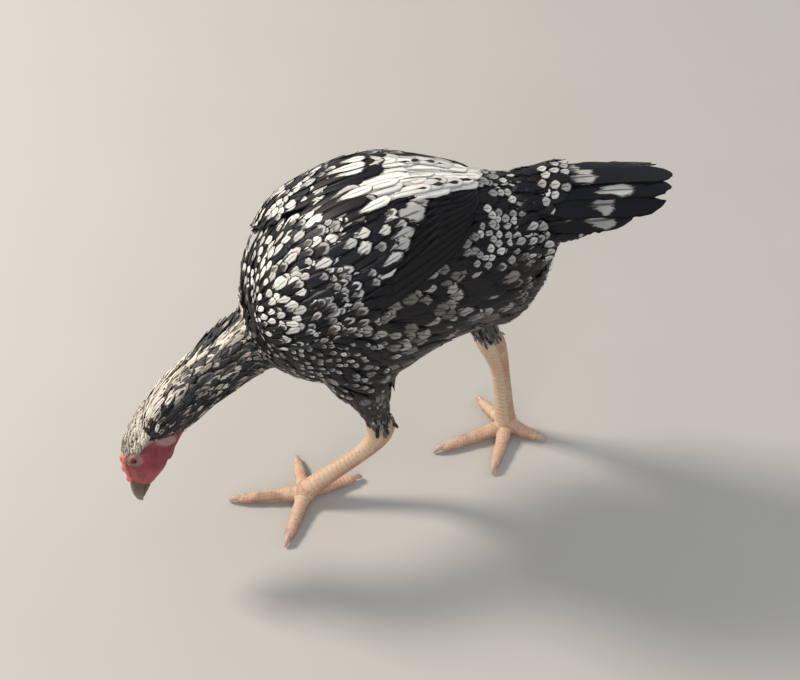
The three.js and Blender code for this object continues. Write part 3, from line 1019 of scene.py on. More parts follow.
@dataclass
class Skin:
    """The whole skin: one object with the body under the coat, the bare head and the bare legs."""

    torso: Torso
    neck: Neck
    head: Head
    wings: dict[str, Wing]
    legs: dict[str, Leg]
    voxel: float = 2.8

    def build(self, workshop: Workshop, finishes: Sequence[Material]) -> Piece:
        """Makes the skin.

        Args:
            workshop: Makes the meshes.
            finishes: A material for each Region, in order.

        Returns:
            The object, with the numbers "leg" and "bare" for its finishes.
        """
        flesh = [*self.torso.forms(), self.neck.form(), *(wing.pad() for wing in self.wings.values())]
        flesh += [leg.thigh_form() for leg in self.legs.values()]
        body = workshop.shrunk(flesh, self.voxel).smoothed(6)
        forms, scales = [body, self.head.form(workshop)], []
        for leg in self.legs.values():
            form, found = leg.bare_form(workshop)
            forms, scales = [*forms, form], [*scales, found]
        whole = Form.joined(forms)
        skin = workshop.piece("skin", whole, finishes)
        regions = [Region.UNDER_COAT.value, Region.FACE.value, Region.LEG.value, Region.LEG.value]
        index = np.repeat(regions, [len(form.faces) for form in forms])
        skin.data.polygons.foreach_set("material_index", index.astype(np.int32))
        blank = np.zeros((len(whole.places) - sum(map(len, scales)), 4))
        paint(skin, "leg", *np.concatenate([blank, *scales]).T)
        local = self.head.local(whole.places)
        near = np.linalg.norm(local - np.array([45.0, 0, 0]), axis=1) < 60
        paint(skin, "bare", *(self.head.tones(local) * near[:, None]).T)
        return skin


# ---- Feathers -----------------------------------------------------------------------------------


@dataclass(frozen=True)
class Vane:
    """A kind of feather: the net and the outline that all its feathers share."""

    rows: int = 6  # rows of points before the tip's own four
    columns: int = 5
    point: float = 1.0  # length of the rounded tip over the half width
    camber: float = 0.16  # how far its sides droop, over the half width
    thickness: float = 0.3
    root: float = 0.45  # width at the root over the full width
    ragged: float = 0.0  # how uneven the edge is
    skew: float = 0.0  # how far one side outgrows the other, over the half width
    rise: float = 0.6  # power of the climb from the first lift to the last
    patch: float = 0.003  # size of its place on the unwrap

    TIP = np.array([(0.42, 0.9), (0.74, 0.66), (0.93, 0.36), (1.0, 0.1)])  # share of the tip, and width

    def shares(self, tip: Array) -> Array:
        """Shares of the length at the rows of points, for each feather's own length of tip."""
        body = np.linspace(0, 1, self.rows) * (1 - tip[:, None])
        return np.concatenate([body, (1 - tip[:, None]) + tip[:, None] * self.TIP[:, 0]], axis=1)

    def widths(self) -> Array:
        """Shares of the half width at the rows of points."""
        body = np.sin(0.5 * np.pi * np.minimum(1, np.linspace(0, 1, self.rows) * 1.5))
        return np.concatenate([self.root + (1 - self.root) * body, self.TIP[:, 1]])

    def faces(self) -> Array:
        """The faces of one closed feather: its top, a lower sheet down its middle and its two ends.

        Returns:
            The faces.
        """
        rows, columns = self.rows + 4, self.columns
        left = np.arange(rows - 1) * columns
        middle, right = rows * columns + np.arange(rows - 1), left + columns - 1
        under = together(left, middle, middle + 1, left + columns)
        other = together(middle, right, right + columns, middle + 1)
        here, last, tip = np.arange(columns - 1), (rows - 1) * columns, rows * columns
        start = together(here, here + 1, tip, tip)
        end = together(last + here + 1, last + here, tip + rows - 1, tip + rows - 1)
        return np.concatenate([net(rows, columns)[:, [0, 3, 2, 1]], under, other, start, end])


@dataclass
class Tract:
    """A group of feathers that grow together, one entry or row for each feather."""

    lines: Array  # points along the middle of each, feathers by steps by three
    outward: Array  # directions out of the body at those points
    beds: Array  # places of the roots on the unwrap
    width: Array  # half widths
    lift: Array  # height over the line at the root and at the tip
    mark: Array  # centre of its mark along it, half length, half width, notch
    tone: Array  # tone of its ground, of its mark, how frayed the mark is, and a chance number

    @staticmethod
    def joined(tracts: Sequence["Tract"]) -> "Tract":
        """Several tracts as one."""
        return Tract(*(np.concatenate([getattr(t, f.name) for t in tracts]) for f in fields(Tract)))

    def kept(self, keep: Array) -> "Tract":
        """The feathers of the tract for which keep is true."""
        return Tract(*(getattr(self, f.name)[keep] for f in fields(self)))


@dataclass
class Plumage:
    """Makes feathers on the skin."""

    workshop: Workshop
    ground: Ground
    finish: Material
    steps: int = 4

    def march(self, roots: Array, lengths: Array, lie: Callable[[Array], Array], twist: Array) -> list[Array]:
        """The middle lines of feathers that lie along the skin.

        Each line starts at its root and takes equal steps along the lie of the coat. After each step it
        is laid on the skin again.

        Args:
            roots: Where they grow.
            lengths: How long they are.
            lie: Gives the direction that the coat lies in at points.
            twist: How far each is turned away from it, in radians.

        Returns:
            The points of the lines and the outward directions there.
        """
        found = [self.ground.lay(roots)]
        for _ in range(self.steps):
            places, outward = found[-1]
            ahead = lie(places)
            ahead = unit(ahead - outward * (ahead * outward).sum(1)[:, None])
            ahead = ahead * np.cos(twist)[:, None] + np.cross(outward, ahead) * np.sin(twist)[:, None]
            found.append(self.ground.lay(places + ahead * (lengths / self.steps)[:, None]))
        return [np.stack(part, axis=1) for part in zip(*found)]

    def feathers(self, name: str, kind: Vane, tract: Tract, seed: int = 1) -> Piece:
        """One piece with all the feathers of a tract.

        A point of a feather is its middle line, plus its side direction times the width, plus the outward
        direction times the lift less the droop of its sides. Below it a second sheet, one thickness down in
        the middle, shares the rim.

        Args:
            name: The piece's name.
            kind: The kind of feather.
            tract: Where and how each lies.
            seed: Chooses the unevenness.

        Returns:
            The piece.
        """
        rng = np.random.default_rng(seed)
        grid = (len(tract.lines), kind.rows + 4, kind.columns)
        count, each = grid[0], grid[1] * (grid[2] + 1)
        width, lift = tract.width[:, None, None], tract.lift[:, :, None]
        length = np.linalg.norm(np.diff(tract.lines, axis=1), axis=2).sum(axis=1)
        share = kind.shares(np.minimum(kind.point * tract.width / np.maximum(length, 0.1), 0.8))
        across, far = np.linspace(-1, 1, kind.columns), share[..., None]
        half = tract.width[:, None] * kind.widths()
        uneven = 1 + kind.ragged * rng.uniform(-1, 0.5, grid) * np.abs(across)
        reach = half[..., None] * across * uneven
        slip = kind.ragged * rng.uniform(-1, 1, grid) * width
        back = far * length[:, None, None] + slip * ease(0.5, 1, far)
        back = back - 0.22 * half[..., None] * across**2 * ease(0.3, 1, far)
        lean = rng.normal(0, kind.skew, count)[:, None, None] * width * across
        back = back - np.abs(lean) * (lean > 0) * ease(0.6, 1, far)
        exact = np.clip(back / np.maximum(length, 0.1)[:, None, None], 0, 1)
        middle, outward = self.along(tract.lines, exact), unit(self.along(tract.outward, exact))
        ahead = self.along(tract.lines, exact + 0.04) - self.along(tract.lines, exact - 0.04)
        beside = unit(np.cross(outward, unit(ahead)))
        climb = lift[:, :1] + (lift[:, 1:] - lift[:, :1]) * exact**kind.rise
        droop = kind.camber * width * across**2 * np.minimum(1, 1.4 * far)
        top = middle + beside * reach[..., None] + outward * (climb - droop)[..., None]
        below = (top - outward * kind.thickness)[:, :, kind.columns // 2]
        places = np.concatenate([top.reshape(count, -1, 3), below], axis=1).reshape(-1, 3)
        faces = kind.faces()
        piece = Form(places, (faces + (np.arange(count) * each)[:, None, None]).reshape(-1, 4))
        piece = self.workshop.piece(name, piece, [self.finish])
        vane = together(exact, (across + 1) / 2).reshape(count, -1, 2)
        vane = np.concatenate([vane, together(share, 0.5)], axis=1)
        self.unwrap(piece, "Vane", vane)
        beds = kind.patch + (1 - 2 * kind.patch) * np.clip(tract.beds, 0, 1)
        self.unwrap(piece, "OFBake", beds[:, None] + (vane - 0.5) * kind.patch)
        paint(piece, "mark", *np.repeat(tract.mark, each, axis=0).T)
        paint(piece, "tone", *np.repeat(tract.tone, each, axis=0).T)
        log.info("%s: %d feathers, %d triangles", name, count, count * 2 * (len(faces) - kind.columns + 1))
        return piece

    @staticmethod
    def along(lines: Array, share: Array) -> Array:
        """Points on feathers' middle lines: a cubic through each line's own points.

        Args:
            lines: Feathers by steps by three.
            share: Shares of the length, feathers by any shape.

        Returns:
            The points.
        """
        count, steps = lines.shape[:2]
        flat = np.clip(share.reshape(count, -1), -0.05, 1.05) * (steps - 1)
        span = np.clip(np.floor(flat).astype(int), 0, steps - 2)
        each, slope = np.arange(count)[:, None], np.gradient(lines, axis=1)
        ends = lines[each, span], lines[each, span + 1], slope[each, span], slope[each, span + 1]
        return cubic((flat - span)[..., None], *ends).reshape(*share.shape, 3)

    @staticmethod
    def unwrap(piece: Piece, name: str, places: Array) -> None:
        """Adds an unwrap to a piece.

        Args:
            piece: The piece.
            name: The unwrap's name.
            places: One place for each of its points.
        """
        layer = piece.data.uv_layers.new(name=name)
        corners = np.zeros(len(piece.data.loops), np.int32)
        piece.data.loops.foreach_get("vertex_index", corners)
        layer.data.foreach_set("uv", places.reshape(-1, 2)[corners].astype(np.float32).ravel())


# ---- The lie and the markings of the coat -------------------------------------------------------


@dataclass
class Lie:
    """The direction that the feathers lie in, everywhere on the skin."""

    torso: Torso
    neck: Neck
    head: Head
    legs: dict[str, Leg]

    def __call__(self, places: Array) -> Array:
        """The directions at points: back along the trunk, down the breast, from the head down the neck.

        Args:
            places: Points on the skin.

        Returns:
            One direction for each, not yet laid flat on the skin.
        """
        x, angle = places[:, 0], self.angle(places)
        down = ease(60, 5, angle) * (0.3 + 0.8 * ease(-60, -120, x)) * (1 - 0.75 * ease(20, 90, x))
        down = down + 0.9 * ease(50, 95, x) * ease(0, -25, angle)
        down = down + 2.2 * ease(102, 112, x) * ease(126, 119, x)
        result = together(1.0, 0.0, -down)
        neck = -self.neck.line.along(self.neck.line.nearest(places)[0])
        result = self.blend(result, neck, ease(-112, -140, x))
        local = self.head.local(places)
        near = ease(85, 62, local[:, 0]) * (np.linalg.norm(local - np.array([50.0, 0, 0]), axis=1) < 70)
        result = self.blend(result, self.head.axes()[0], near)
        for leg in self.legs.values():
            result = self.blend(result, leg.thigh_line().along(0.6), self.on_thigh(leg, places))
        return unit(result)

    @staticmethod
    def blend(first: Array, second: Array, share: Array) -> Array:
        """Directions that turn from the first to the second as share goes from 0 to 1."""
        return unit(first) * (1 - share[:, None]) + unit(second) * share[:, None]

    def angle(self, places: Array) -> Array:
        """Degrees up from the trunk's side, from -90 underneath to 90 on top."""
        middle = through(self.torso.stations, places[:, 0])[:, 0]
        return np.degrees(np.arctan2(places[:, 2] - middle, np.abs(places[:, 1])))

    @staticmethod
    def on_thigh(leg: Leg, places: Array) -> Array:
        """How surely points are on a thigh, and not on the trunk beside it.

        Args:
            leg: The thigh's leg.
            places: The points.

        Returns:
            Numbers from 0 to 1.
        """
        share, gap = leg.thigh_line().nearest(places)
        size = through(leg.thigh, share).mean(axis=1) - leg.coat
        return ease(1.5, 1.2, gap / size - 0.8 * ease(0.85, 1, share)) * ease(192, 160, places[:, 2])


Span = tuple[float, float]
Marks = tuple[Array, Array]


@dataclass(frozen=True)
class Marking:
    """A way for feathers to be marked; each range is a lowest and a highest value."""

    centre: Span = (0.84, 0.88)  # share of the length
    long: Span = (0.11, 0.15)  # half length, as a share of the feather's length
    wide: Span = (0.5, 0.7)  # half width, as a share of the half width
    notch: Span = (0.0, 0.0)  # above 0 the mark is a crescent
    ground: Span = (0.0, 0.06)  # tone round the mark
    mark: Span = (0.75, 0.95)  # tone of the mark
    fray: Span = (0.2, 0.4)
    share: float = 1.0  # share of the feathers that have the mark
    clump: float = 0.35  # how far the marks stand in groups

    def on(self, count: int, rng: np.random.Generator, clumps: Value = 0.0) -> Marks:
        """The mark and tone numbers of some feathers.

        Args:
            count: How many feathers.
            rng: Chooses the numbers.
            clumps: Numbers from -1 to 1 that group the feathers with and without the mark.

        Returns:
            Four columns for the marks and four for the tones.
        """
        has = np.clip(rng.uniform(0, 1, count) + self.clump * clumps, 0, 1) <= self.share
        centre, long, wide, notch, ground, mark, fray = (
            rng.uniform(*span, count)
            for span in (self.centre, self.long, self.wide, self.notch, self.ground, self.mark, self.fray)
        )
        tone = together(ground, np.where(has, mark, ground), fray, rng.uniform(0, 1, count))
        return together(centre, long * has + 1e-3, wide, notch), tone


PEARL = Marking(
    (0.84, 0.88), (0.13, 0.17), (0.8, 0.98), (0, 0.15), (0, 0.05), (0.6, 0.85), (0.15, 0.35), 0.95, 0.1
)
RING = Marking(
    (0.82, 0.88), (0.15, 0.2), (0.75, 0.95), (0.5, 1), (0.02, 0.12), (0.45, 0.65), (0.4, 0.7), 0.8, 0.2
)
GRAIN = Marking((0.85, 0.9), (0.1, 0.17), (0.45, 0.75), (0, 0.5), (0, 0.07), (0.55, 0.85), (0.3, 0.7), 0.85)
BLOTCH = Marking((0.74, 0.86), (0.16, 0.26), (0.8, 1.3), (0, 0.3), (0, 0.08), (0.4, 0.62), (0.7, 1), 0.9, 0.1)
FLECK = Marking((0.8, 0.9), (0.05, 0.1), (0.2, 0.5), (0, 0), (0.03, 0.14), (0.45, 0.7), (0.5, 0.9), 0.35)
PLAIN = Marking(ground=(0.0, 0.1), share=0.06, mark=(0.3, 0.5), fray=(0.6, 1.0))
FLUFF = Marking((0.7, 0.9), (0.05, 0.12), (0.3, 0.8), (0, 0), (0.06, 0.2), (0.24, 0.36), (0.8, 1), 0.15)
THATCH = Marking((0.7, 0.9), (0.05, 0.12), (0.3, 0.8), (0, 0), (0.26, 0.5), (0.2, 0.3), (0.8, 1), 0.3)
TEARDROP = Marking(
    (0.76, 0.83), (0.2, 0.3), (0.85, 1.35), (0, 0.1), (0.02, 0.16), (0.86, 1.0), (0.25, 0.6), 0.95, 0.1
)
MOON = Marking(
    (0.81, 0.87), (0.14, 0.2), (0.75, 1.1), (0.1, 0.9), (0, 0.06), (0.6, 0.88), (0.3, 0.7), 0.8, 0.25
)
SPOT = Marking((0.84, 0.9), (0.09, 0.15), (0.5, 0.8), (0, 0.4), (0, 0.05), (0.65, 0.85), (0.4, 0.8), 0.75)
STREAK = Marking((0.7, 0.85), (0.2, 0.35), (0.2, 0.45), (0, 0), (0.8, 1), (0.02, 0.2), (0.4, 0.8), 0.8)
CREAM = Marking((0.75, 0.95), (0.05, 0.12), (0.2, 0.5), (0, 0), (0.82, 1), (0.05, 0.3), (0.4, 0.9), 0.4)
LACED = Marking((0.6, 0.68), (0.32, 0.42), (0.55, 0.8), (0, 0), (0.3, 0.72), (0, 0.12), (0.7, 1.1), 0.95)
TAN = Marking((0.7, 0.9), (0.1, 0.25), (0.25, 0.6), (0, 0), (0.58, 0.8), (0.05, 0.25), (0.4, 0.9), 0.6)
SALT = Marking((0.78, 0.88), (0.12, 0.2), (0.5, 0.8), (0, 0), (0.02, 0.2), (0.55, 0.95), (0.4, 0.9), 0.85)
INKED = Marking((0.7, 0.84), (0.16, 0.3), (0.4, 0.75), (0, 0), (0.72, 0.95), (0, 0.12), (0.5, 0.9), 0.95)
SMOKE = Marking((0.75, 0.88), (0.15, 0.3), (0.4, 0.8), (0, 0), (0.02, 0.12), (0.5, 0.75), (0.8, 1.1), 0.5)


def chosen(
    rng: np.random.Generator,
    places: Array,
    kinds: Sequence[tuple[Marking, Value]],
    patch: float = 26.0,
    hold: float = 0.0,
) -> Marks:
    """Marks and tones where several markings meet: each feather takes one of them by chance.

    Args:
        rng: Chooses.
        places: The roots, which decide how marks clump.
        kinds: Markings, each with its weight at every feather.
        patch: Millimetres across the patches that alike feathers stand in.
        hold: How far neighbours take the same marking, from 0 to 1.

    Returns:
        Four columns for the marks and four for the tones.
    """
    count = len(places)
    weights = np.stack([weight + 0 * places[:, 0] for _, weight in kinds])
    bounds = np.cumsum(weights / np.maximum(weights.sum(0), 1e-6), axis=0)
    clumps = mottle(places / patch, 11)
    even = clumps.argsort().argsort() / count
    even = (hold * even + (1 - hold) * rng.uniform(0, 1, count)).argsort().argsort() / count
    pick = (even > bounds[:-1]).sum(axis=0)
    found = np.array([kind.on(count, rng, clumps) for kind, _ in kinds])
    mark, tone = found[pick, :, np.arange(count)].swapaxes(0, 1)
    return mark, tone


# ---- The coat -----------------------------------------------------------------------------------


@dataclass
class BodyCoat:
    """The feathers of the trunk, from the breast to the rump."""

    torso: Torso
    lie: Lie
    wings: dict[str, Wing]
    row: float = 6.6
    place: float = 7.2
    overlap: float = 3.4  # length of a feather over the distance between rows
    tufts: int = 5  # loose tufts of fluff for each soft feather
    small: Vane = Vane(point=1.1, thickness=0.22, camber=0.09)
    soft: Vane = Vane(point=2.6, thickness=0.2, ragged=0.45, camber=0.12)
    wisp: Vane = Vane(rows=5, columns=3, point=2.2, thickness=0.2, ragged=0.3, camber=0.12)

    def roots(self) -> Marks:
        """A brick pattern on the trunk: rows at equal steps along its outline.

        Returns:
            The x and angle of each root, and its place on an unwrap of the trunk.
        """
        x = np.linspace(self.torso.stations[0][0] + 0.5, 122, 400)
        size = through(self.torso.stations, x)[:, 1:].mean(axis=1)
        run = np.r_[0, np.cumsum(np.hypot(np.diff(x), np.diff(size)))]
        rows = np.arange(self.row / 2, run[-1], self.row)
        row, angle = bricks(rows, TURN * np.interp(rows, run, size) / self.place, 8)
        return together(np.interp(row, run, x), angle), together(row / run[-1], angle / TURN) % 1.0

    def dress(self, plumage: Plumage) -> list[Piece]:
        """Makes the trunk's feathers.

        Args:
            plumage: Makes the feathers.

        Returns:
            The pieces.
        """
        rng = np.random.default_rng(20)
        roots, beds = self.roots()
        x, turn = (roots + rng.normal(0, 1, roots.shape) * np.array([1.0, 0.012])).T
        skin = self.torso.at(x, turn, -self.torso.coat)
        degrees = np.degrees(np.arcsin(np.sin(turn)))
        hidden = sum(wing.covers(x, turn) for wing in self.wings.values())
        hidden = hidden + sum(self.lie.on_thigh(leg, skin) > 0.5 for leg in self.lie.legs.values())
        inside = (self.lie.neck.line.nearest(skin)[1] < 22) & (x < -95)
        tail = (x > 86) & (x < 104) & (degrees > -12)
        side = ease(-60, -30, x) * ease(75, 55, x) * ease(28, 12, degrees) * ease(-75, -50, degrees)
        thinned = rng.uniform(0, 1, len(x)) < 0.42 * side
        keep = (hidden == 0) & ~inside & ~tail & ~thinned
        x, beds, skin, degrees, side = x[keep], beds[keep], skin[keep], degrees[keep], side[keep]
        size = 1 + 0.55 * side - 0.12 * ease(-60, -110, x) - 0.25 * ease(-100, -122, x)
        lengths = self.row * self.overlap * size * rng.uniform(0.92, 1.1, len(x)) * ease(150, 100, x)
        lines = plumage.march(skin, lengths, self.lie, rng.normal(0, 0.09, len(x)))
        breast = ease(-30, -70, x) * ease(40, 10, degrees)
        rings = ease(38, 55, x) * ease(-12, 0, degrees) * ease(28, 16, degrees)
        belly = ease(-42, -62, degrees)
        hidden = ease(100, 106, x)
        rear = np.maximum(ease(55, 85, x) * ease(20, -5, degrees), hidden)
        rump = ease(18, 34, x) * ease(14, 28, degrees) * (1 - hidden)
        saddle = ease(62, 72, degrees) * ease(84, 74, degrees) * ease(30, 50, x)
        mantle = ease(58, 70, degrees) * ease(0, -30, x)
        flank = np.clip(1 - breast - rump - belly - rear - rings - mantle, 0.02, 1)
        kinds = [
            (TEARDROP, mantle),
            (PEARL, rump * (1 - 0.8 * saddle) + 0.2 * mantle),
            (RING, 0.9 * rings),
            (GRAIN, breast * (1 - belly)),
            (BLOTCH, 0.8 * flank + 0.1 * breast),
            (FLECK, 0.5 * belly + 0.1 * flank),
            (PLAIN, 0.4 * belly + 0.8 * saddle + 0.75 * flank),
            (FLUFF, 1.6 * rear * (1 - rump) + 0.3 * belly * ease(0, 60, x)),
        ]
        marks = chosen(rng, skin, kinds, 11.0, 0.55)
        width = self.place * 0.66 * size * rng.uniform(0.92, 1.08, len(x))
        lift = together(2.8 - 2.3 * hidden, 4.7 - 1.9 * hidden + rng.normal(0, 0.25, len(x)))
        tract = Tract(*lines, beds, width, lift, *marks)
        fluffy = (rear * (1 - rump) > 0.5) | ((belly > 0.5) & (x > 10))
        loose = fluffy & ((hidden < 0.5) | (degrees < -30))
        down = self.down(skin[loose], beds[loose], plumage, rng)
        front = (x < -35) & ~fluffy
        return [
            plumage.feathers("coat_breast", self.small, tract.kept(front), 21),
            plumage.feathers("coat_back", self.small, tract.kept(~front & ~fluffy), 22),
            plumage.feathers("coat_belly", self.soft, tract.kept(fluffy), 23),
            plumage.feathers("coat_down", self.wisp, down, 24),
        ]

    def down(self, roots: Array, beds: Array, plumage: Plumage, rng: np.random.Generator) -> Tract:
        """The brown fluff behind and between the legs: thin, loose tufts among the feathers there.

        Args:
            roots: Where those feathers grow.
            beds: Their places on the unwrap.
            plumage: Lays the tufts on the skin.
            rng: Makes them uneven.

        Returns:
            The tract.
        """
        roots, beds = np.repeat(roots, self.tufts, axis=0), np.repeat(beds, self.tufts, axis=0)
        shift, count = rng.normal(0, 2.6, roots.shape), len(roots)
        length, twist = rng.uniform(12, 26, count), rng.normal(0, 0.45, count)
        lines = plumage.march(roots + shift, length, self.lie, twist)
        marks = FLUFF.on(count, rng)
        lift = together(1.5, rng.uniform(2.5, 6.0, count))
        return Tract(*lines, beds + shift[:, :2] * 0.001, rng.uniform(0.5, 1.1, count), lift, *marks)


@dataclass
class NeckCoat:
    """The pointed feathers of the neck."""

    neck: Neck
    lie: Lie
    kind: Vane = Vane(point=2.3, camber=0.2, thickness=0.2, root=0.15, ragged=0.25)
    row: float = 4.6
    place: float = 4.7
    length: float = 21.0
    crest: Triple = (-0.468, 0.709, 0.527)  # the way out along the black upper edge

    def dress(self, plumage: Plumage) -> Piece:
        """Makes the neck's feathers.

        Args:
            plumage: Makes the feathers.

        Returns:
            The piece.
        """
        rng = np.random.default_rng(30)
        line, stations = self.neck.line, self.neck.stations
        rows = np.arange(0.14, 1.0, self.row / line.length)
        share, angle = bricks(rows, math.pi * through(stations, rows).sum(axis=1) / self.place, 8)
        roots = line.ovals(share, angle, through(stations, share), (0, 0, 1))
        beds = together(share, angle / TURN)
        roots = roots + rng.normal(0, 0.5, roots.shape)
        local = self.lie.head.local(roots)
        away = np.linalg.norm(local - np.array([45.0, 0, 0]), axis=1)
        keep = (away > 60) | ((local[:, 0] > 60) & (self.lie.head.bare(local) < 0.5)) | (local[:, 0] > 80)
        roots, beds, share, away = roots[keep], beds[keep], share[keep], away[keep]
        near = np.maximum(ease(62, 26, away), ease(92, 72, local[keep, 0]) * ease(70, 58, away))
        count = len(share)
        lengths = self.length * (1.1 - 0.25 * ease(0.5, 1, share) - 0.4 * near)
        lengths = lengths * rng.uniform(0.88, 1.12, count)
        lines, outward = plumage.march(roots, lengths, self.lie, rng.normal(0, 0.12, count))
        # edge: how far each feather faces along the crest way, which lies close to the way the key light
        # comes from.
        edge = outward[:, 0] @ np.array(self.crest)
        crest = ease(0.74, 0.86, edge) * ease(0.62, 0.54, share) * ease(0.08, 0.16, share)
        # low: the side facing away from the key light takes more dark-ground SALT and SMOKE marks, painted
        # shade, and lies flatter.
        low = ease(-0.35, -0.65, edge)
        # light_facing: the side facing the key light takes cream and streaked marks, partly the real pale
        # hackles and partly painted light.
        light_facing = ease(0.2, 0.5, edge) * ease(0.2, 0.3, share) + ease(0.05, 0.3, edge) * ease(0.7, 0.82, share)
        light_facing = np.clip(light_facing, 0, 1) * (1 - crest)
        cluster = 0.8 * bell(share - 0.55, 0.2) + 3.2 * ease(0.72, 0.82, share) * bell(edge + 0.04, 0.26)
        patch = bell(share - 0.33, 0.09) * ease(-0.1, 0.15, edge)
        rest = (1 - crest) * (1 - light_facing)
        kinds = [
            (CREAM, 0.6 * light_facing + 0.6 * patch),
            (STREAK, 0.55 * light_facing + 0.3 * patch),
            (INKED, (0.3 + 0.2 * low) * rest + 0.5 * light_facing),
            (LACED, (0.9 - 0.4 * low) * rest * ease(0.1, 0.25, share)),
            (SALT, (0.3 + 0.4 * low) * rest),
            (SMOKE, (0.55 + 0.3 * low + 0.8 * ease(0.22, 0.1, share)) * rest + 0.3 * light_facing),
            (PLAIN, 3.0 * crest + (0.35 + cluster + ease(0.2, 0.1, share)) * rest),
        ]
        marks = chosen(rng, roots, kinds, 5.0, 0.35)
        stand = rng.uniform(0, 4.0, count) * crest
        width = self.place * (0.68 - 0.12 * ease(0.5, 1, share) - 0.26 * near + 0.14 * crest)
        width = width * rng.uniform(0.85, 1.1, count)
        high = 3.3 - 1.7 * near - 0.8 * low + rng.normal(0, 0.4, count) + stand
        tract = Tract(lines, outward, beds, width, together(0.6 - 0.6 * near, high), *marks)
        return plumage.feathers("coat_neck", self.kind, tract, 31)


@dataclass
class HeadCoat:
    """The short feathers of the crown, nape and cheeks."""

    head: Head
    lie: Lie
    kind: Vane = Vane(rows=4, columns=3, point=1.9, camber=0.2, thickness=0.16, root=0.3)
    start: float = 25.0
    end: float = 93.0

    def roots(self) -> Marks:
        """Rings of roots round the head, closest beside the comb.

        Returns:
            The distance back and the angle of each root, and its place on the unwrap.
        """
        rows, steps = [self.start], []
        while rows[-1] < self.end:
            steps.append(1.5 + 1.4 * float(ease(35, 75, rows[-1])))
            rows.append(rows[-1] + steps[-1])
        size = through(self.head.stations, rows[:-1])
        counts = math.pi * (size[:, 0] + size[:, 1:].mean(axis=1)) / (np.array(steps) * 0.85)
        back, angle = bricks(np.array(rows[:-1]), counts, 1)
        return together(back, angle), together((back - 20) / 75, angle / TURN)

    def dress(self, plumage: Plumage) -> Piece:
        """Makes the head's feathers, smallest beside the comb.

        Args:
            plumage: Makes the feathers.

        Returns:
            The piece.
        """
        rng = np.random.default_rng(40)
        ring, beds = self.roots()
        ring = ring + rng.normal(0, 1, ring.shape) * np.array([0.35, 0.02])
        roots = self.head.oval(ring[:, 0], ring[:, 1])
        local = self.head.local(roots)
        comb = (np.abs(local[:, 2]) < 4.6) & (local[:, 0] < 43) & (local[:, 1] > 5)
        keep = (self.head.bare(local) < 0.5) & ~comb
        roots, beds, local = roots[keep], beds[keep], local[keep]
        back, rise, eye, count = local[:, 0], local[:, 1], self.head.eye, len(local)
        lengths = (4.6 + 9.5 * ease(38, 88, back)) * rng.uniform(0.85, 1.15, count)
        ahead = (back < eye[0]) & (np.abs(rise - eye[1]) < 5.5)
        lengths = np.where(ahead, np.clip(self.head.from_eye(local) - 4.4, 1.6, lengths), lengths)
        lines = plumage.march(roots, lengths, self.lie, rng.normal(0, 0.16, count))
        nearby = ease(9, 3, np.abs(local[:, 2])) * ease(52, 40, back)
        cheek, crown = ease(10, 0, rise), ease(58, 44, back)
        kinds = [
            (CREAM, 1.2 * (1 - cheek) * (1 - 0.5 * nearby) * (1 - 0.7 * crown)),
            (STREAK, 0.4 * (1 - cheek)),
            (TAN, 1.2 * crown + 0.3 * nearby),
            (INKED, 0.2 + 0.2 * cheek + 0.2 * nearby),
            (SALT, 0.4 * cheek + 0.3 * nearby),
            (SMOKE, 0.8 * cheek + 0.4 * nearby),
            (PLAIN, 1.6 * cheek),
        ]
        marks = chosen(rng, roots, kinds, 6.0, 0.3)
        width = (0.78 + 1.15 * ease(35, 85, back)) * rng.uniform(0.85, 1.15, count)
        high = 1.2 + 1.7 * ease(45, 88, back) + rng.normal(0, 0.2, count)
        tract = Tract(*lines, beds, width, together(0.2 + 0.8 * ease(70, 90, back), high), *marks)
        return plumage.feathers("coat_head", self.kind, tract, 41)


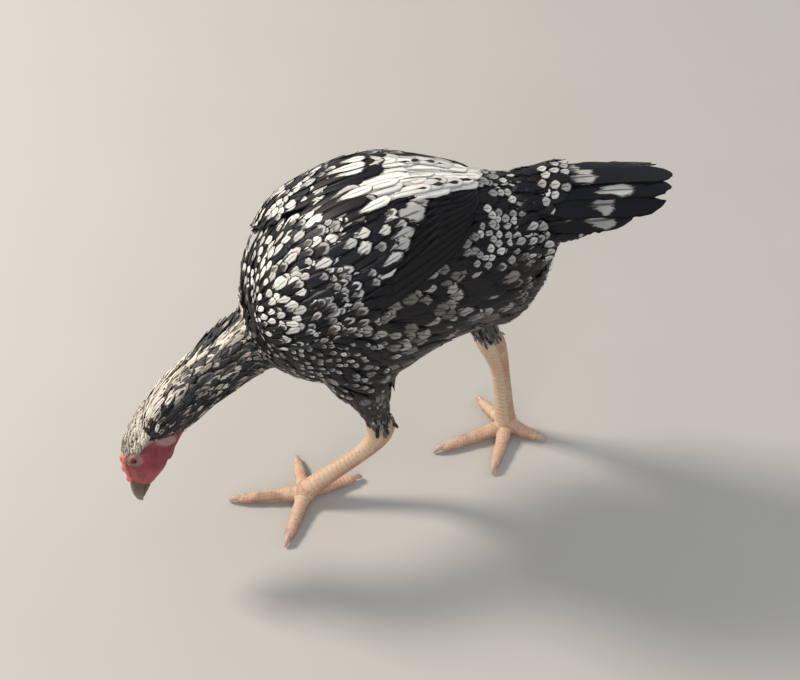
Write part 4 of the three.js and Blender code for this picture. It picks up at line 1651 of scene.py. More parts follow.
@dataclass
class ThighCoat:
    """The feathers of both thighs, down to their hems over the hocks."""

    legs: dict[str, Leg]
    lie: Lie
    kind: Vane = Vane(point=1.8, thickness=0.24, ragged=0.3)
    pitch: float = 4.6  # between rows, and between the feathers of a row
    length: float = 17.0

    def dress(self, plumage: Plumage) -> Piece:
        """Makes the thighs' feathers.

        Args:
            plumage: Makes the feathers.

        Returns:
            The piece.
        """
        rng = np.random.default_rng(50)
        tracts = [self.tract(number, leg, plumage, rng) for number, leg in enumerate(self.legs.values())]
        return plumage.feathers("coat_thighs", self.kind, Tract.joined(tracts), 51)

    def tract(self, number: int, leg: Leg, plumage: Plumage, rng: np.random.Generator) -> Tract:
        """The feathers of one thigh.

        Args:
            number: Which half of the unwrap they take.
            leg: The leg.
            plumage: Lays them on the skin.
            rng: Makes them uneven.

        Returns:
            The tract.
        """
        line, right = leg.thigh_line(), float(leg.side > 0)
        rows = np.arange(0.3, 1.0 - 0.015 * right, self.pitch / line.length)
        girth = math.pi * (through(leg.thigh, rows) - leg.coat).sum(axis=1)
        share, angle = bricks(rows, girth * (1 + 0.5 * ease(0.8, 1.0, rows)) / self.pitch, 10)
        roots = line.ovals(share, angle, through(leg.thigh, share) - leg.coat, (1, 0, 0))
        beds = together((number + share) / 2, angle / TURN)
        keep = self.outside(roots)
        roots, beds, share = roots[keep] + rng.normal(0, 0.5, roots[keep].shape), beds[keep], share[keep]
        hem = np.minimum(1, (1.06 - 0.07 * right - share) * line.length / self.length)
        lengths = np.maximum(self.length * hem, 5.0) * rng.uniform(0.9, 1.1, len(share))
        lines = plumage.march(roots, lengths, self.lie, rng.normal(0, 0.1, len(share)))
        # thigh_in_shade is 1 on the right thigh, which stands in shade, and a quarter on the left; the lower
        # feathers take grey-brown THATCH marks by it, painted shade.
        low, thigh_in_shade = ease(0.5, 0.85, share), 0.25 + 0.75 * right
        kinds = [
            (FLECK, 1 - low),
            (SMOKE, (0.5 + 0.4 * low) * (1 - thigh_in_shade * low)),
            (PLAIN, 0.4 - 0.3 * low),
            (THATCH, 2.2 * thigh_in_shade * low),
        ]
        marks = chosen(rng, roots, kinds)
        width = self.pitch * (0.72 - (0.3 + 0.14 * thigh_in_shade) * low) * rng.uniform(0.85, 1.15, len(share))
        lift = together(0.5, 2.4 + rng.normal(0, 0.3 + 0.4 * low, len(share)))
        return Tract(*lines, beds, width, lift, *marks)

    def outside(self, places: Array) -> Array:
        """Which points are outside the trunk.

        Args:
            places: The points.

        Returns:
            True for those that are.
        """
        middle, width, rise, depth = through(self.lie.torso.stations, places[:, 0]).T
        height = places[:, 2] - middle
        size = np.where(height > 0, rise, depth) - 9
        return (places[:, 1] / (width - 9)) ** 2 + (height / size) ** 2 > 1


@dataclass
class WingCoat:
    """The feathers of one folded wing, in layers from its flights up to its shoulder."""

    wing: Wing
    name: str
    pale: float  # how much of the inner feathers is pale
    bold: Rows  # along, across, half length and half width of single large marks
    length: float = 172.0  # from shoulder to tips, along the trunk
    long: Vane = Vane(12, 7, 1.6, 0.0, 0.22, 0.8, 0.03, patch=0.006)
    broad: Vane = Vane(8, 5, 1.1, 0.05, 0.25, ragged=0.14, patch=0.005)
    small: Vane = Vane(6, 5, 1.2, 0.07, 0.22, ragged=0.12)

    def tract(
        self,
        roots: Array,
        length: Array,
        width: Array,
        lift: Span,
        marks: Marks,
        drift: Value,
        spread: float = 0.25,
    ) -> Tract:
        """Feathers that lie on the wing, along it.

        Args:
            roots: Shares of the wing's length, and of the way from its top edge to the lower one.
            length: How long the feathers are.
            width: Half their widths.
            lift: Height over the wing at the root and at the tip.
            marks: Their marks and tones.
            drift: How far across the wing each tip is from its root.
            spread: How uneven the height of the tips is.

        Returns:
            The tract.
        """
        rng = np.random.default_rng(len(roots))
        share = np.linspace(0, 1, 6)
        a = roots[:, :1] + share * (length / self.length)[:, None]
        c = roots[:, 1:] + share * (drift + 0 * length)[:, None]

        def surface(a: Array, c: Array) -> Array:
            """Points on the outside of the wing's flesh."""
            swell = self.wing.swell(np.minimum(a, 1), c) * (0.15 + 0.85 * ease(1.15, 0.65, a))
            return self.wing.at(a, c, swell)

        lines, middle = surface(a, c), self.wing.middle(self.wing.on_trunk(a, c)[0])
        outward = facing(lines, surface(a + 0.01, c), surface(a, c + 0.01), middle)
        high = lift[1] + rng.normal(0, spread, len(roots))
        return Tract(lines, outward, roots, width, together(lift[0], high), *marks)

    def grid(self, along: Span, across: Span, row: float, place: float, rng: np.random.Generator) -> Array:
        """A brick pattern of roots on the wing.

        Args:
            along: The first and last share of the length.
            across: The first and last share of the way across.
            row: Millimetres between rows.
            place: Millimetres between the feathers of a row.
            rng: Moves them a little.

        Returns:
            The shares along and across of the roots.
        """
        found = []
        for number, at in enumerate(np.arange(along[0], along[1], row / self.length)):
            x, top, low, _ = through(self.wing.stations, at)
            size = through(self.wing.torso.stations, x)[1:].mean()
            count = max(2, round(math.radians(top - low) * size * (across[1] - across[0]) / place))
            c = across[0] + (across[1] - across[0]) * (np.arange(count) + 0.25 + number % 2 / 2) / count
            at = at + rng.normal(0, 0.13, count) * row / self.length
            found.append(together(at, c + rng.normal(0, 0.004, count)))
        return np.concatenate(found)

    def marks(self, tip: Array, across: Array, rng: np.random.Generator) -> Marks:
        """Marks of the coverts by where their tips are: pale drops in front and above, moons below.

        Args:
            tip: Where the tips are, as shares of the wing's length.
            across: Where they are across the wing.
            rng: Chooses.

        Returns:
            Marks and tones.
        """
        front = ease(0.58, 0.38, tip + 0.28 * (across - 0.1) + 0.1 * (1 - self.pale))
        low = ease(0.6, 0.75, across) * ease(0.6, 0.46, tip)
        kinds = [
            (TEARDROP, front * (0.45 + 0.55 * self.pale)),
            (MOON, (1 - front) * 0.8 + 0.2 + low),
            (SPOT, (1 - front) * (1 - low) * 0.5),
            (PLAIN, (1 - front) * (1 - low) * 0.6 + (1 - self.pale) * 0.5),
        ]
        return chosen(rng, together(tip * self.length, across * 100, 0.0), kinds, 20.0, 0.3)

    def dress(self, plumage: Plumage) -> list[Piece]:
        """Makes the wing's feathers: its flights, its coverts and its shoulder.

        Args:
            plumage: Makes the feathers.

        Returns:
            The pieces.
        """
        rng = np.random.default_rng(60 + self.wing.side)
        coverts = Tract.joined([self.greater(rng), self.median(rng)])
        self.embolden(coverts)
        coverts = Tract.joined([coverts, self.tertials(rng)])
        return [
            plumage.feathers(f"coat_flights_{self.name}", self.long, self.flights(rng), 61),
            plumage.feathers(f"coat_coverts_{self.name}", self.broad, coverts, 62),
            plumage.feathers(f"coat_shoulder_{self.name}", self.small, self.lesser(rng), 63),
        ]

    def embolden(self, tract: Tract) -> None:
        """Gives the covert whose tip is nearest to each bold mark's place that mark.

        Args:
            tract: The coverts.
        """
        for along, across, long, wide in self.bold:
            place = self.wing.at(np.array(along), np.array(across), 5.0)
            number = int(np.linalg.norm(tract.lines[:, -1] - place, axis=1).argmin())
            size = np.linalg.norm(tract.lines[number, -1] - tract.lines[number, 0])
            tract.width[number] = max(tract.width[number], wide * 1.15)
            tract.mark[number] = (1 - 0.55 * long / size - 0.04, long / size, wide / tract.width[number], 0)
            tract.tone[number, :3] = (0.0, 0.8, 0.7)
            tract.lift[number, 1] += 0.9

    def flights(self, rng: np.random.Generator) -> Tract:
        """The long flight feathers: blades parallel to the lower edge, the lowest one outermost.

        Args:
            rng: Makes them uneven.

        Returns:
            The tract.
        """
        number = np.arange(10)
        roots = together(0.36 + 0.012 * number, 0.885 - 0.077 * number)
        tips = 1.0 - 0.05 * ease(5, 0, number) + rng.normal(0, 0.006, 10)
        kind = Marking((0.8, 0.9), (0.01, 0.02), (0.2, 0.4), (0, 0), (0.03, 0.07), (0.1, 0.2), share=0.1)
        length = (tips - roots[:, 0]) * self.length
        return self.tract(roots, length, np.full(10, 11.5), (0.2, 0.6), kind.on(10, rng), -0.02, 0.03)

    def greater(self, rng: np.random.Generator) -> Tract:
        """The great coverts: one row of long dark feathers, some with pale tips.

        Args:
            rng: Makes them uneven.

        Returns:
            The tract.
        """
        count = 14
        across = 0.96 - 0.062 * np.arange(count)
        tips = np.interp(across, [0.2, 0.45, 0.6, 0.75, 0.95], [0.82, 0.76, 0.69, 0.62, 0.56])
        tips = tips + rng.normal(0, 0.006, count)
        length = np.full(count, 50.0) + rng.normal(0, 2, count)
        roots = together(tips - length / self.length, across)
        return self.tract(roots, length, np.full(count, 6.8), (0.8, 2.4), SPOT.on(count, rng), -0.01)

    def median(self, rng: np.random.Generator) -> Tract:
        """The middle coverts: rows of black feathers with moons and spots.

        Args:
            rng: Makes them uneven.

        Returns:
            The tract.
        """
        roots = self.grid((0.24, 0.58), (0.12, 0.98), 9.0, 7.2, rng)
        length = 28 + rng.normal(0, 2.2, len(roots))
        tip = roots[:, 0] + length / self.length
        keep = tip < np.interp(roots[:, 1], [0.2, 0.45, 0.6, 0.75, 0.95], [0.75, 0.7, 0.63, 0.57, 0.52])
        roots, length = roots[keep], length[keep]
        marks, drift = self.marks(tip[keep], roots[:, 1], rng), rng.normal(0, 0.02, len(roots))
        return self.tract(roots, length, rng.uniform(4.5, 5.6, len(roots)), (1.2, 3.2), marks, drift)

    def tertials(self, rng: np.random.Generator) -> Tract:
        """The long pale feathers with dark streaks where the two wings meet over the back.

        Args:
            rng: Makes them uneven.

        Returns:
            The tract.
        """
        roots = self.grid((0.34, 0.80), (-0.03, 0.27), 12, 7.2, rng)
        along, across = roots.T
        length = np.minimum(44 + rng.normal(0, 5, len(along)), (1.04 - along) * self.length)
        back = ease(0.62, 0.74, along + length / self.length) * ease(0.30, 0.20, across)
        light = np.clip(back * self.pale, 0, 1)
        kinds = [
            (STREAK, 0.3 * light), (CREAM, 1.1 * light), (SALT, 0.05), (TEARDROP, 0.6 * (1 - light)),
            (PLAIN, 0.75 * (1 - light)),
        ]
        marks = chosen(rng, together(along * self.length, across * 100, 0.0), kinds)
        drift = -0.05 * ease(0.1, 0.3, across) + rng.normal(0, 0.02, len(along))
        return self.tract(roots, length, rng.uniform(4.2, 6.4, len(along)), (1.6, 4.2), marks, drift, 0.45)

    def lesser(self, rng: np.random.Generator) -> Tract:
        """The small coverts of the shoulder: dense rows with pale almond tips.

        Args:
            rng: Makes them uneven.

        Returns:
            The tract.
        """
        roots = self.grid((-0.035, 0.38), (-0.05, 1.02), 5.9, 4.8, rng)
        near = 0.62 + 0.38 * ease(-0.02, 0.13, roots[:, 0])
        length = (18 + rng.normal(0, 1.8, len(roots))) * near
        tip = roots[:, 0] + length / self.length
        keep = tip < 0.5 - 0.06 * roots[:, 1]
        roots, length, near = roots[keep], length[keep], near[keep]
        marks = self.marks(tip[keep], roots[:, 1], rng)
        drift = -0.04 * ease(0.6, 1, roots[:, 1]) + rng.normal(0, 0.03, len(roots))
        width = rng.uniform(3.0, 4.1, len(roots)) * near
        return self.tract(roots, length, width, (1.3, 2.9), marks, drift, 0.3)


@dataclass
class TailCoat:
    """The tail feathers on their arch, and the coverts over and under their roots."""

    root: Sequence[float] = (100, 282, 27, 37)  # x, middle, half width, height
    tip: Sequence[float] = (213, 275, 32, 31)
    # for each feather of a side: its angle up from the side, its width, and where and how long its mark is
    feathers: Rows = (
        (80, 0.8, -0.16, 0.7), (58, 0.62, 0.08, 1.0), (39, 1.0, 0.02, 0.8), (15, 1.05, 0.16, 1.1),
        (-6, 1.0, 0.12, 0.4), (-24, 0.9, 0.1, 1.8),
    )
    # how much each is shorter than the longest one
    shorter: dict[str, Sequence[float]] = field(
        default_factory=lambda: {"left": (0, 3, 9, 35, 58, 73), "right": (20, 10, 3, 30, 50, 70)}
    )
    half: float = 11.5
    lap: float = 1.5
    # the surface that the coverts lie on, stated like the trunk
    over: Rows = (
        (66, 251, 49, 75, 74), (84, 255, 43, 71, 72), (102, 270, 34, 51, 48), (126, 284, 33, 36, 30),
        (150, 283, 28, 31, 20),
    )
    # angle, and the x that the last row of coverts ends at
    ends: Rows = (
        (-20, 112), (0, 114), (18, 104), (32, 104), (42, 114), (55, 125), (84, 129), (110, 133), (135, 132),
        (165, 112), (200, 112),
    )
    # x and angle of the coverts that have a pearl for sure
    pearls: Rows = ((99, 98), (105, 91), (112, 85), (83, 90), (117, 70), (90, 69), (107, 11), (96, 22))
    blade: Vane = Vane(16, 9, 1.6, 0.08, 0.5, 0.5, 0.14, 1.2, patch=0.012)
    broad: Vane = Vane(8, 5, 1.05, 0.1, 0.25, 0.25, 0.1, patch=0.005)
    soft: Vane = Vane(7, 5, 2.6, 0.2, 0.25, 0.6, 0.45)

    def arch(self, side: int, shorter: Sequence[float]) -> Tract:
        """The tail feathers of one side, each tucked under the one above it.

        Args:
            side: The sign of y of the side.
            shorter: How much each is shorter than the longest.

        Returns:
            The tract.
        """
        turn, broad, shift, long = np.array(self.feathers, float).T
        angle, count = np.radians(turn), len(turn)
        inwards = np.arange(count) * self.lap + (self.lap / 2 if side > 0 else 0)
        out = together(0.0, side * np.cos(angle), np.sin(angle))
        root, tip = (
            (x, 0, middle) + together(0.0, width - inwards, height - inwards) * out
            for x, middle, width, height in (self.root, self.tip)
        )
        tip = root + (tip - root) * (1 - np.array(shorter) / (self.tip[0] - self.root[0]))[:, None]
        step = np.linspace(0, 1, 6)[None, :, None]
        outward = unit(out[:, None] + 0 * step)
        lines = root[:, None] + (tip - root)[:, None] * step + outward * (3.0 * np.sin(np.pi * step) - step)
        beds = together(0.2, 0.5 + side * (0.05 + 0.42 * np.arange(count) / count))
        rng = np.random.default_rng(70 + side)
        ranges = (0.5, 0.56), (0.1, 0.14), (0.7, 1), (0, 0.15), (0, 0.02), (0.6, 0.78), (0.5, 0.9)
        kind = Marking(*ranges, 1, 0)
        mark, tone = kind.on(count, rng)
        mark = mark * together(1.0, long, 1.0, 1.0) + together(shift, 0.0, 0.0, 0.0)
        lift = together(0.0, rng.normal(0, 0.3, count))
        width = self.half * rng.uniform(0.9, 1.05, count) * broad
        return Tract(lines, outward, beds, width, lift, mark, tone)

    def coverts(self, rows: int, pitch: float, turns: Span, size: Span, bed: float) -> Tract:
        """Coverts over the roots of the tail, in rows forward from the last one.

        Args:
            rows: How many rows.
            pitch: Millimetres between rows.
            turns: The lowest and highest angle from the side, in degrees.
            size: Length and half width.
            bed: Where they are on the unwrap.

        Returns:
            The tract, without marks.
        """
        rng = np.random.default_rng(75 + rows)
        form, limits = Torso(self.over), np.array(self.ends)
        count = round(36 * math.radians(turns[1] - turns[0]) / (size[1] * 1.4))
        place, row = np.tile(np.arange(count), rows), np.repeat(np.arange(rows), count)
        turn = turns[0] + (turns[1] - turns[0]) * (place + 0.25 + row % 2 / 2) / count
        end = np.interp(turn, limits[:, 0], limits[:, 1]) - row * pitch
        end, turn = (together(end, np.radians(turn)) + rng.normal(0, 1, (rows * count, 2)) * (1.2, 0.02)).T
        length = size[0] * rng.uniform(0.92, 1.08, len(end))
        x = end[:, None] + (np.linspace(0, 1, 6) - 1) * length[:, None]
        beds = together(bed + 0.4 * (end - 60) / 80, turn / TURN + 0.25)
        turn = turn[:, None] + 0 * x
        lines = form.at(x, turn)
        outward = facing(lines, form.at(x + 1, turn), form.at(x, turn + 0.02), np.array([100.0, 0, 278]))
        lift = together(-8.0 * ease(98, 80, x[:, 0]) + 0.2, 1.6 + rng.normal(0, 0.25, len(end)))
        width, blank = size[1] * rng.uniform(0.92, 1.08, len(end)), np.zeros((len(end), 4))
        return Tract(lines, outward, beds, width, lift, blank, blank)

    def vent(self, plumage: Plumage) -> Tract:
        """The soft coverts under the tail, in rings on the flesh that the tail grows on.

        Args:
            plumage: Lays them on the skin.

        Returns:
            The tract.
        """
        rng = np.random.default_rng(79)
        turns = np.radians(np.arange(165, 376, 13))
        x, turn = np.meshgrid(np.arange(104.0, 150.0, 3.6), turns, indexing="ij")
        x = (x + rng.normal(0, 1, x.shape)).ravel()
        turn = (turn + rng.normal(0, 0.08, turn.shape)).ravel()
        roots, count = Torso(Torso().tail).at(x, turn), len(x)
        length, twist = np.minimum(rng.uniform(20, 30, count), 166 - x), rng.normal(0, 0.15, count)
        lines = plumage.march(roots, length, lambda places: 0 * places + (1.0, 0, 0), twist)
        marks = chosen(rng, roots, [(FLUFF, 0.8), (PLAIN, 0.6)])
        beds = together(0.75 + 0.2 * (x - 100) / 55, turn / TURN % 1)
        lift = together(0.3, rng.uniform(2.5, 8.0, count))
        return Tract(*lines, beds, rng.uniform(2.2, 3.4, count), lift, *marks)

    def dress(self, plumage: Plumage) -> list[Piece]:
        """Makes the tail: its feathers, and the coverts over and under their roots.

        Args:
            plumage: Makes the feathers.

        Returns:
            The pieces.
        """
        rng = np.random.default_rng(75)
        tail = Tract.joined([self.arch(side, self.shorter[name]) for name, side in SIDES.items()])
        upper = self.coverts(3, 7.5, (-20, 200), (27, 5.2), 0.3)
        last = np.arange(len(upper.lines)) < len(upper.lines) // 3
        ends = upper.lines[:, -1]
        angle = np.degrees(np.arctan2(ends[:, 2] - 275, np.abs(ends[:, 1])))
        low = ease(40, 25, angle)
        rump = ease(97, 89, ends[:, 0]) * ease(15, 25, angle) * ease(70, 62, angle)
        kinds = [
            (PEARL, (1.0 * last + 0.35) * (1 - 0.6 * low) + 3 * rump),
            (RING, 0.8 * low),
            (PLAIN, 0.85 * ~last * (1 - 0.5 * low)),
        ]
        upper.mark, upper.tone = chosen(rng, upper.lines[:, 0], kinds)
        spots = Torso(self.over).at(*(np.array(self.pearls) * (1, math.pi / 180)).T)
        nearest = np.linalg.norm(ends[:, None] - spots, axis=-1).argmin(axis=0)
        upper.mark[nearest], upper.tone[nearest] = PEARL.on(len(nearest), rng)
        upper.lift[nearest, 1] += 0.6
        return [
            plumage.feathers("coat_tail", self.blade, tail, 76),
            plumage.feathers("coat_tail_coverts", self.broad, upper, 77),
            plumage.feathers("coat_under_tail", self.soft, self.vent(plumage), 78),
        ]


# ---- Finishes -----------------------------------------------------------------------------------


def operator(operation: str) -> Callable[["Flow", "Flow | float"], "Flow"]:
    """A method that adds a Math node of one operation."""
    return lambda flow, other: flow.maths(operation, other)


@dataclass(frozen=True)
class Flow:
    """A socket of a node tree in an expression. Its operators add Math nodes."""

    tree: "Nodes"
    socket: bpy.types.NodeSocket

    __add__ = __radd__ = operator("ADD")
    __sub__ = operator("SUBTRACT")
    __mul__ = __rmul__ = operator("MULTIPLY")
    __truediv__ = operator("DIVIDE")
    __pow__ = operator("POWER")

    def maths(self, operation: str, *others: "Flow | float") -> "Flow":
        """One Math node on this value and others."""
        return self.tree.node("ShaderNodeMath", {"operation": operation}, dict(enumerate((self, *others))))

    def __rsub__(self, other: float) -> "Flow":
        """A number less this value."""
        return self.tree.node("ShaderNodeMath", {"operation": "SUBTRACT"}, {0: other, 1: self})

    def abs(self) -> "Flow":
        """The size without the sign."""
        return self.maths("ABSOLUTE")

    def root(self) -> "Flow":
        """The square root of the value, with anything below 0 taken as 0."""
        return self.maths("MAXIMUM", 0.0).maths("SQRT")

    def step(self, low: "Flow | float", high: "Flow | float") -> "Flow":
        """A smooth step from 0 at low to 1 at the higher high."""
        inputs = {"Value": self, "From Min": low, "From Max": high}
        return self.tree.node("ShaderNodeMapRange", {"interpolation_type": "SMOOTHSTEP"}, inputs)

    def clamp(self) -> "Flow":
        """The value kept from 0 to 1."""
        return self.maths("MAXIMUM", 0.0).maths("MINIMUM", 1.0)


@dataclass(frozen=True)
class Nodes:
    """The node tree of a material."""

    tree: bpy.types.NodeTree

    def node(
        self, kind: str, settings: dict | None, inputs: dict | None = None, output: int | str = 0
    ) -> Flow:
        """Adds a node.

        Args:
            kind: The node's type.
            settings: Its properties, set first.
            inputs: Values or flows for its sockets, by name or number.
            output: Which of its outputs to return.

        Returns:
            The output.
        """
        node = self.tree.nodes.new(kind)
        for key, value in (settings or {}).items():
            setattr(node, key, value)
        for key, value in (inputs or {}).items():
            if isinstance(value, Flow):
                self.tree.links.new(value.socket, node.inputs[key])
            else:
                node.inputs[key].default_value = value
        return Flow(self, node.outputs[output])

    def ramp(self, value: Flow, *stops: tuple[float, Triple]) -> Flow:
        """A colour for a value.

        Args:
            value: The value.
            stops: Places from 0 to 1, each with its colour.

        Returns:
            The colour.
        """
        flow = self.node("ShaderNodeValToRGB", None, {0: value})
        elements = flow.socket.node.color_ramp.elements
        for _ in stops[2:]:
            elements.new(1.0)
        for element, (place, colour) in zip(elements, stops):
            element.position, element.color = place, (*colour, 1.0)
        return flow

    def mixed(self, share: Flow, first: Flow | Triple, second: Flow | Triple) -> Flow:
        """A colour between two, the first at 0 and the second at 1."""
        colours = [colour if isinstance(colour, Flow) else (*colour, 1.0) for colour in (first, second)]
        return self.node("ShaderNodeMix", {"data_type": "RGBA"}, {0: share, 6: colours[0], 7: colours[1]}, 2)

    def attribute(self, name: str) -> list[Flow]:
        """The four numbers that pieces store for each point.

        Args:
            name: The name that they are stored under.

        Returns:
            The numbers.
        """
        colour = self.node("ShaderNodeAttribute", {"attribute_name": name}, None, "Color")
        parts = self.node("ShaderNodeSeparateColor", None, {0: colour}).socket.node
        sockets = [*parts.outputs, colour.socket.node.outputs["Alpha"]]
        return [Flow(self, socket) for socket in sockets]

    def unwrap(self, name: str) -> list[Flow]:
        """The two coordinates of an unwrap, and a zero."""
        parts = self.node("ShaderNodeSeparateXYZ", None, {0: self.node("ShaderNodeUVMap", {"uv_map": name})})
        return [Flow(self, socket) for socket in parts.socket.node.outputs]

    def where(self) -> Flow:
        """Places on the object, in metres."""
        return self.node("ShaderNodeTexCoord", None, None, "Object")

    def noise(self, place: Flow, scale: float, detail: float = 2.0, rough: float = 0.5) -> Flow:
        """Noise from 0 to 1 at a place."""
        inputs = {"Vector": place, "Scale": scale, "Detail": detail, "Roughness": rough}
        return self.node("ShaderNodeTexNoise", None, inputs)

    def cells(self, place: Flow, scale: float, feature: str = "F1") -> Flow:
        """Distances in a pattern of cells at a place."""
        inputs = {"Vector": place, "Scale": scale}
        return self.node("ShaderNodeTexVoronoi", {"feature": feature}, inputs, "Distance")

    def vector(self, x: Flow | float, y: Flow | float, z: Flow | float = 0.0) -> Flow:
        """Three values as one place."""
        return self.node("ShaderNodeCombineXYZ", None, {0: x, 1: y, 2: z})

    def bump(self, height: Flow, distance: float, strength: float) -> Flow:
        """A normal from a height, in metres of distance."""
        inputs = {"Height": height, "Distance": distance, "Strength": strength}
        return self.node("ShaderNodeBump", None, inputs)


@dataclass(frozen=True)
class Finish:
    """A surface. Each kind of surface adds its own numbers and its own paint method."""

    name: str
    roughness: float = 0.5
    coat: float = 0.0
    coat_roughness: float = 0.1
    specular: float = 0.5
    subsurface: float = 0.0

    def material(self) -> Material:
        """Makes the material.

        Returns:
            The material.
        """
        material = bpy.data.materials.new(self.name)
        material.use_nodes = True
        inputs = material.node_tree.nodes["Principled BSDF"].inputs
        settings = {
            "Roughness": self.roughness,
            "Coat Weight": self.coat,
            "Coat Roughness": self.coat_roughness,
            "Specular IOR Level": self.specular,
        }
        if self.subsurface:
            settings["Subsurface Weight"] = self.subsurface
            settings["Subsurface Scale"] = 0.002
            settings["Subsurface Radius"] = (1.0, 0.35, 0.2)
        for socket, value in settings.items():
            inputs[socket].default_value = value
        for socket, flow in self.paint(Nodes(material.node_tree)).items():
            material.node_tree.links.new(flow.socket, inputs[socket])
        return material

    def paint(self, nodes: Nodes) -> dict[str, Flow]:
        """What varies over the surface, by the shader's sockets."""
        raise NotImplementedError


@dataclass(frozen=True)
class FeatherFinish(Finish):
    """Black feathers with pale marks at their tips, from each feather's own mark and tone numbers."""

    black: Triple = (0.0058, 0.0064, 0.0092)
    brown: Triple = (0.022, 0.0165, 0.0135)
    grey: Triple = (0.17, 0.15, 0.135)
    silver: Triple = (0.46, 0.44, 0.41)
    cream: Triple = (0.88, 0.84, 0.75)

    def paint(self, nodes: Nodes) -> dict[str, Flow]:
        """The mark is an oval round a point of the shaft, with an edge frayed along the barbs.

        Args:
            nodes: The material's tree.

        Returns:
            What varies, by the shader's sockets.
        """
        u, v, _ = nodes.unwrap("Vane")
        centre, long, wide, notch = nodes.attribute("mark")
        ground, mark, fray, chance = nodes.attribute("tone")
        b = v * 2.0 - 1.0
        barb = u * 14.0 - b.abs() * 5.0
        strands = nodes.noise(nodes.vector(barb * 2.4, v * 1.3, chance * 91.0), 3.0, 3.0, 0.65)
        patchy = nodes.noise(nodes.vector(u * 2.2, v * 1.8, chance * 57.0), 2.8, 2.0)
        edge = (strands - 0.5) * fray * 1.8 + (patchy - 0.5) * fray * 2.2
        ahead = (u - centre).maths("MAXIMUM", 0.0) / (long * 0.7)
        behind = (centre - u).maths("MAXIMUM", 0.0) / (long * 1.35)
        beside = b.abs() / wide
        far = (ahead * ahead + behind * behind + beside * beside + behind * beside * 1.5).root() + edge
        mask = 1.0 - far.step(0.82, 1.1)
        inner = ((u - centre + long * 0.62) / (long * 0.95)) ** 2.0 + (b / (wide * 0.66)) ** 2.0
        mask = mask * (1.0 - (1.0 - (inner.root() + edge).step(0.7, 1.05)) * notch)
        shaft = (1.0 - b.abs().step(0.03, 0.13)) * (1.0 - u.step(0.84, 0.97))
        tone = ground + (mark - ground) * mask
        tone = tone * (1.0 - shaft * 0.45) * (0.8 + strands * 0.4)
        tone = (tone * (0.84 + chance * 0.26)).clamp()
        colours = self.black, self.brown, self.grey, self.silver, self.cream
        colour = nodes.ramp(tone, *zip((0.0, 0.16, 0.42, 0.7, 1.0), colours))
        rough = 0.40 + tone * 0.3 + (strands - 0.5) * 0.2
        lines = (barb * 9.0).maths("SINE") * 0.35 + strands + (1.0 - b.abs().step(0.0, 0.1)) * 0.8
        return {"Base Color": colour, "Roughness": rough, "Normal": nodes.bump(lines, 0.0001, 0.6)}


@dataclass(frozen=True)
class UnderCoatFinish(Finish):
    """The dark down between the feathers."""

    def paint(self, nodes: Nodes) -> dict[str, Flow]:
        """Almost black, a little uneven."""
        spots = nodes.noise(nodes.where(), 220.0, 3.0)
        return {"Base Color": nodes.ramp(spots, (0.3, (0.012, 0.010, 0.010)), (0.75, (0.05, 0.044, 0.04)))}


@dataclass(frozen=True)
class FaceFinish(Finish):
    """Bare skin of the face: red, deeper and paler in broad mottled patches, paler on its pimples and lids.
    """

    deep: Triple = (0.15, 0.014, 0.020)
    red: Triple = (0.29, 0.034, 0.043)
    pale: Triple = (0.44, 0.115, 0.105)
    lobe: Triple = (0.38, 0.23, 0.20)
    hidden: Triple = (0.27, 0.165, 0.12)  # under the feathers

    def paint(self, nodes: Nodes) -> dict[str, Flow]:
        """Mottled red over two sizes of pimples, dark under the feathers.

        Args:
            nodes: The material's tree.

        Returns:
            What varies, by the shader's sockets.
        """
        place = nodes.where()
        broad = nodes.noise(place, 95.0, 3.0)
        fine = nodes.noise(place, 700.0, 2.0)
        pimple = 1.0 - nodes.cells(place, 620.0).step(0.1, 0.62)
        tone = broad + fine * 0.1 + pimple * 0.04 - 0.17
        colour = nodes.ramp(tone, (0.25, self.deep), (0.55, self.red), (0.9, self.pale))
        bare, lobe, lid, front = nodes.attribute("bare")
        colour = nodes.mixed((front * 0.55 * (broad + 0.3)).clamp(), colour, self.pale)
        colour = nodes.mixed((lobe * (broad * 1.3 + 0.1)).clamp(), colour, self.lobe)
        colour = nodes.mixed(lid * 0.6, colour, self.hidden)
        colour = nodes.mixed(bare, self.hidden, colour)
        bump = nodes.bump(pimple * 0.7 + fine * 0.5, 0.0003, 0.4)
        return {"Base Color": colour, "Roughness": 0.4 + broad * 0.25, "Normal": bump}


@dataclass(frozen=True)
class CombFinish(FaceFinish):
    """The comb: a warmer red with small close bumps."""

    def paint(self, nodes: Nodes) -> dict[str, Flow]:
        """Red, with pale tops on its bumps.

        Args:
            nodes: The material's tree.

        Returns:
            What varies, by the shader's sockets.
        """
        place = nodes.where()
        broad = nodes.noise(place, 160.0, 2.0)
        pimple = 1.0 - nodes.cells(place, 800.0).step(0.08, 0.6)
        tone = broad * 0.92 + pimple * 0.08
        colour = nodes.ramp(tone, (0.1, self.deep), (0.38, self.red), (0.7, self.pale))
        rough, bump = 0.38 + broad * 0.2, nodes.bump(pimple, 0.0003, 0.5)
        return {"Base Color": colour, "Roughness": rough, "Normal": bump}


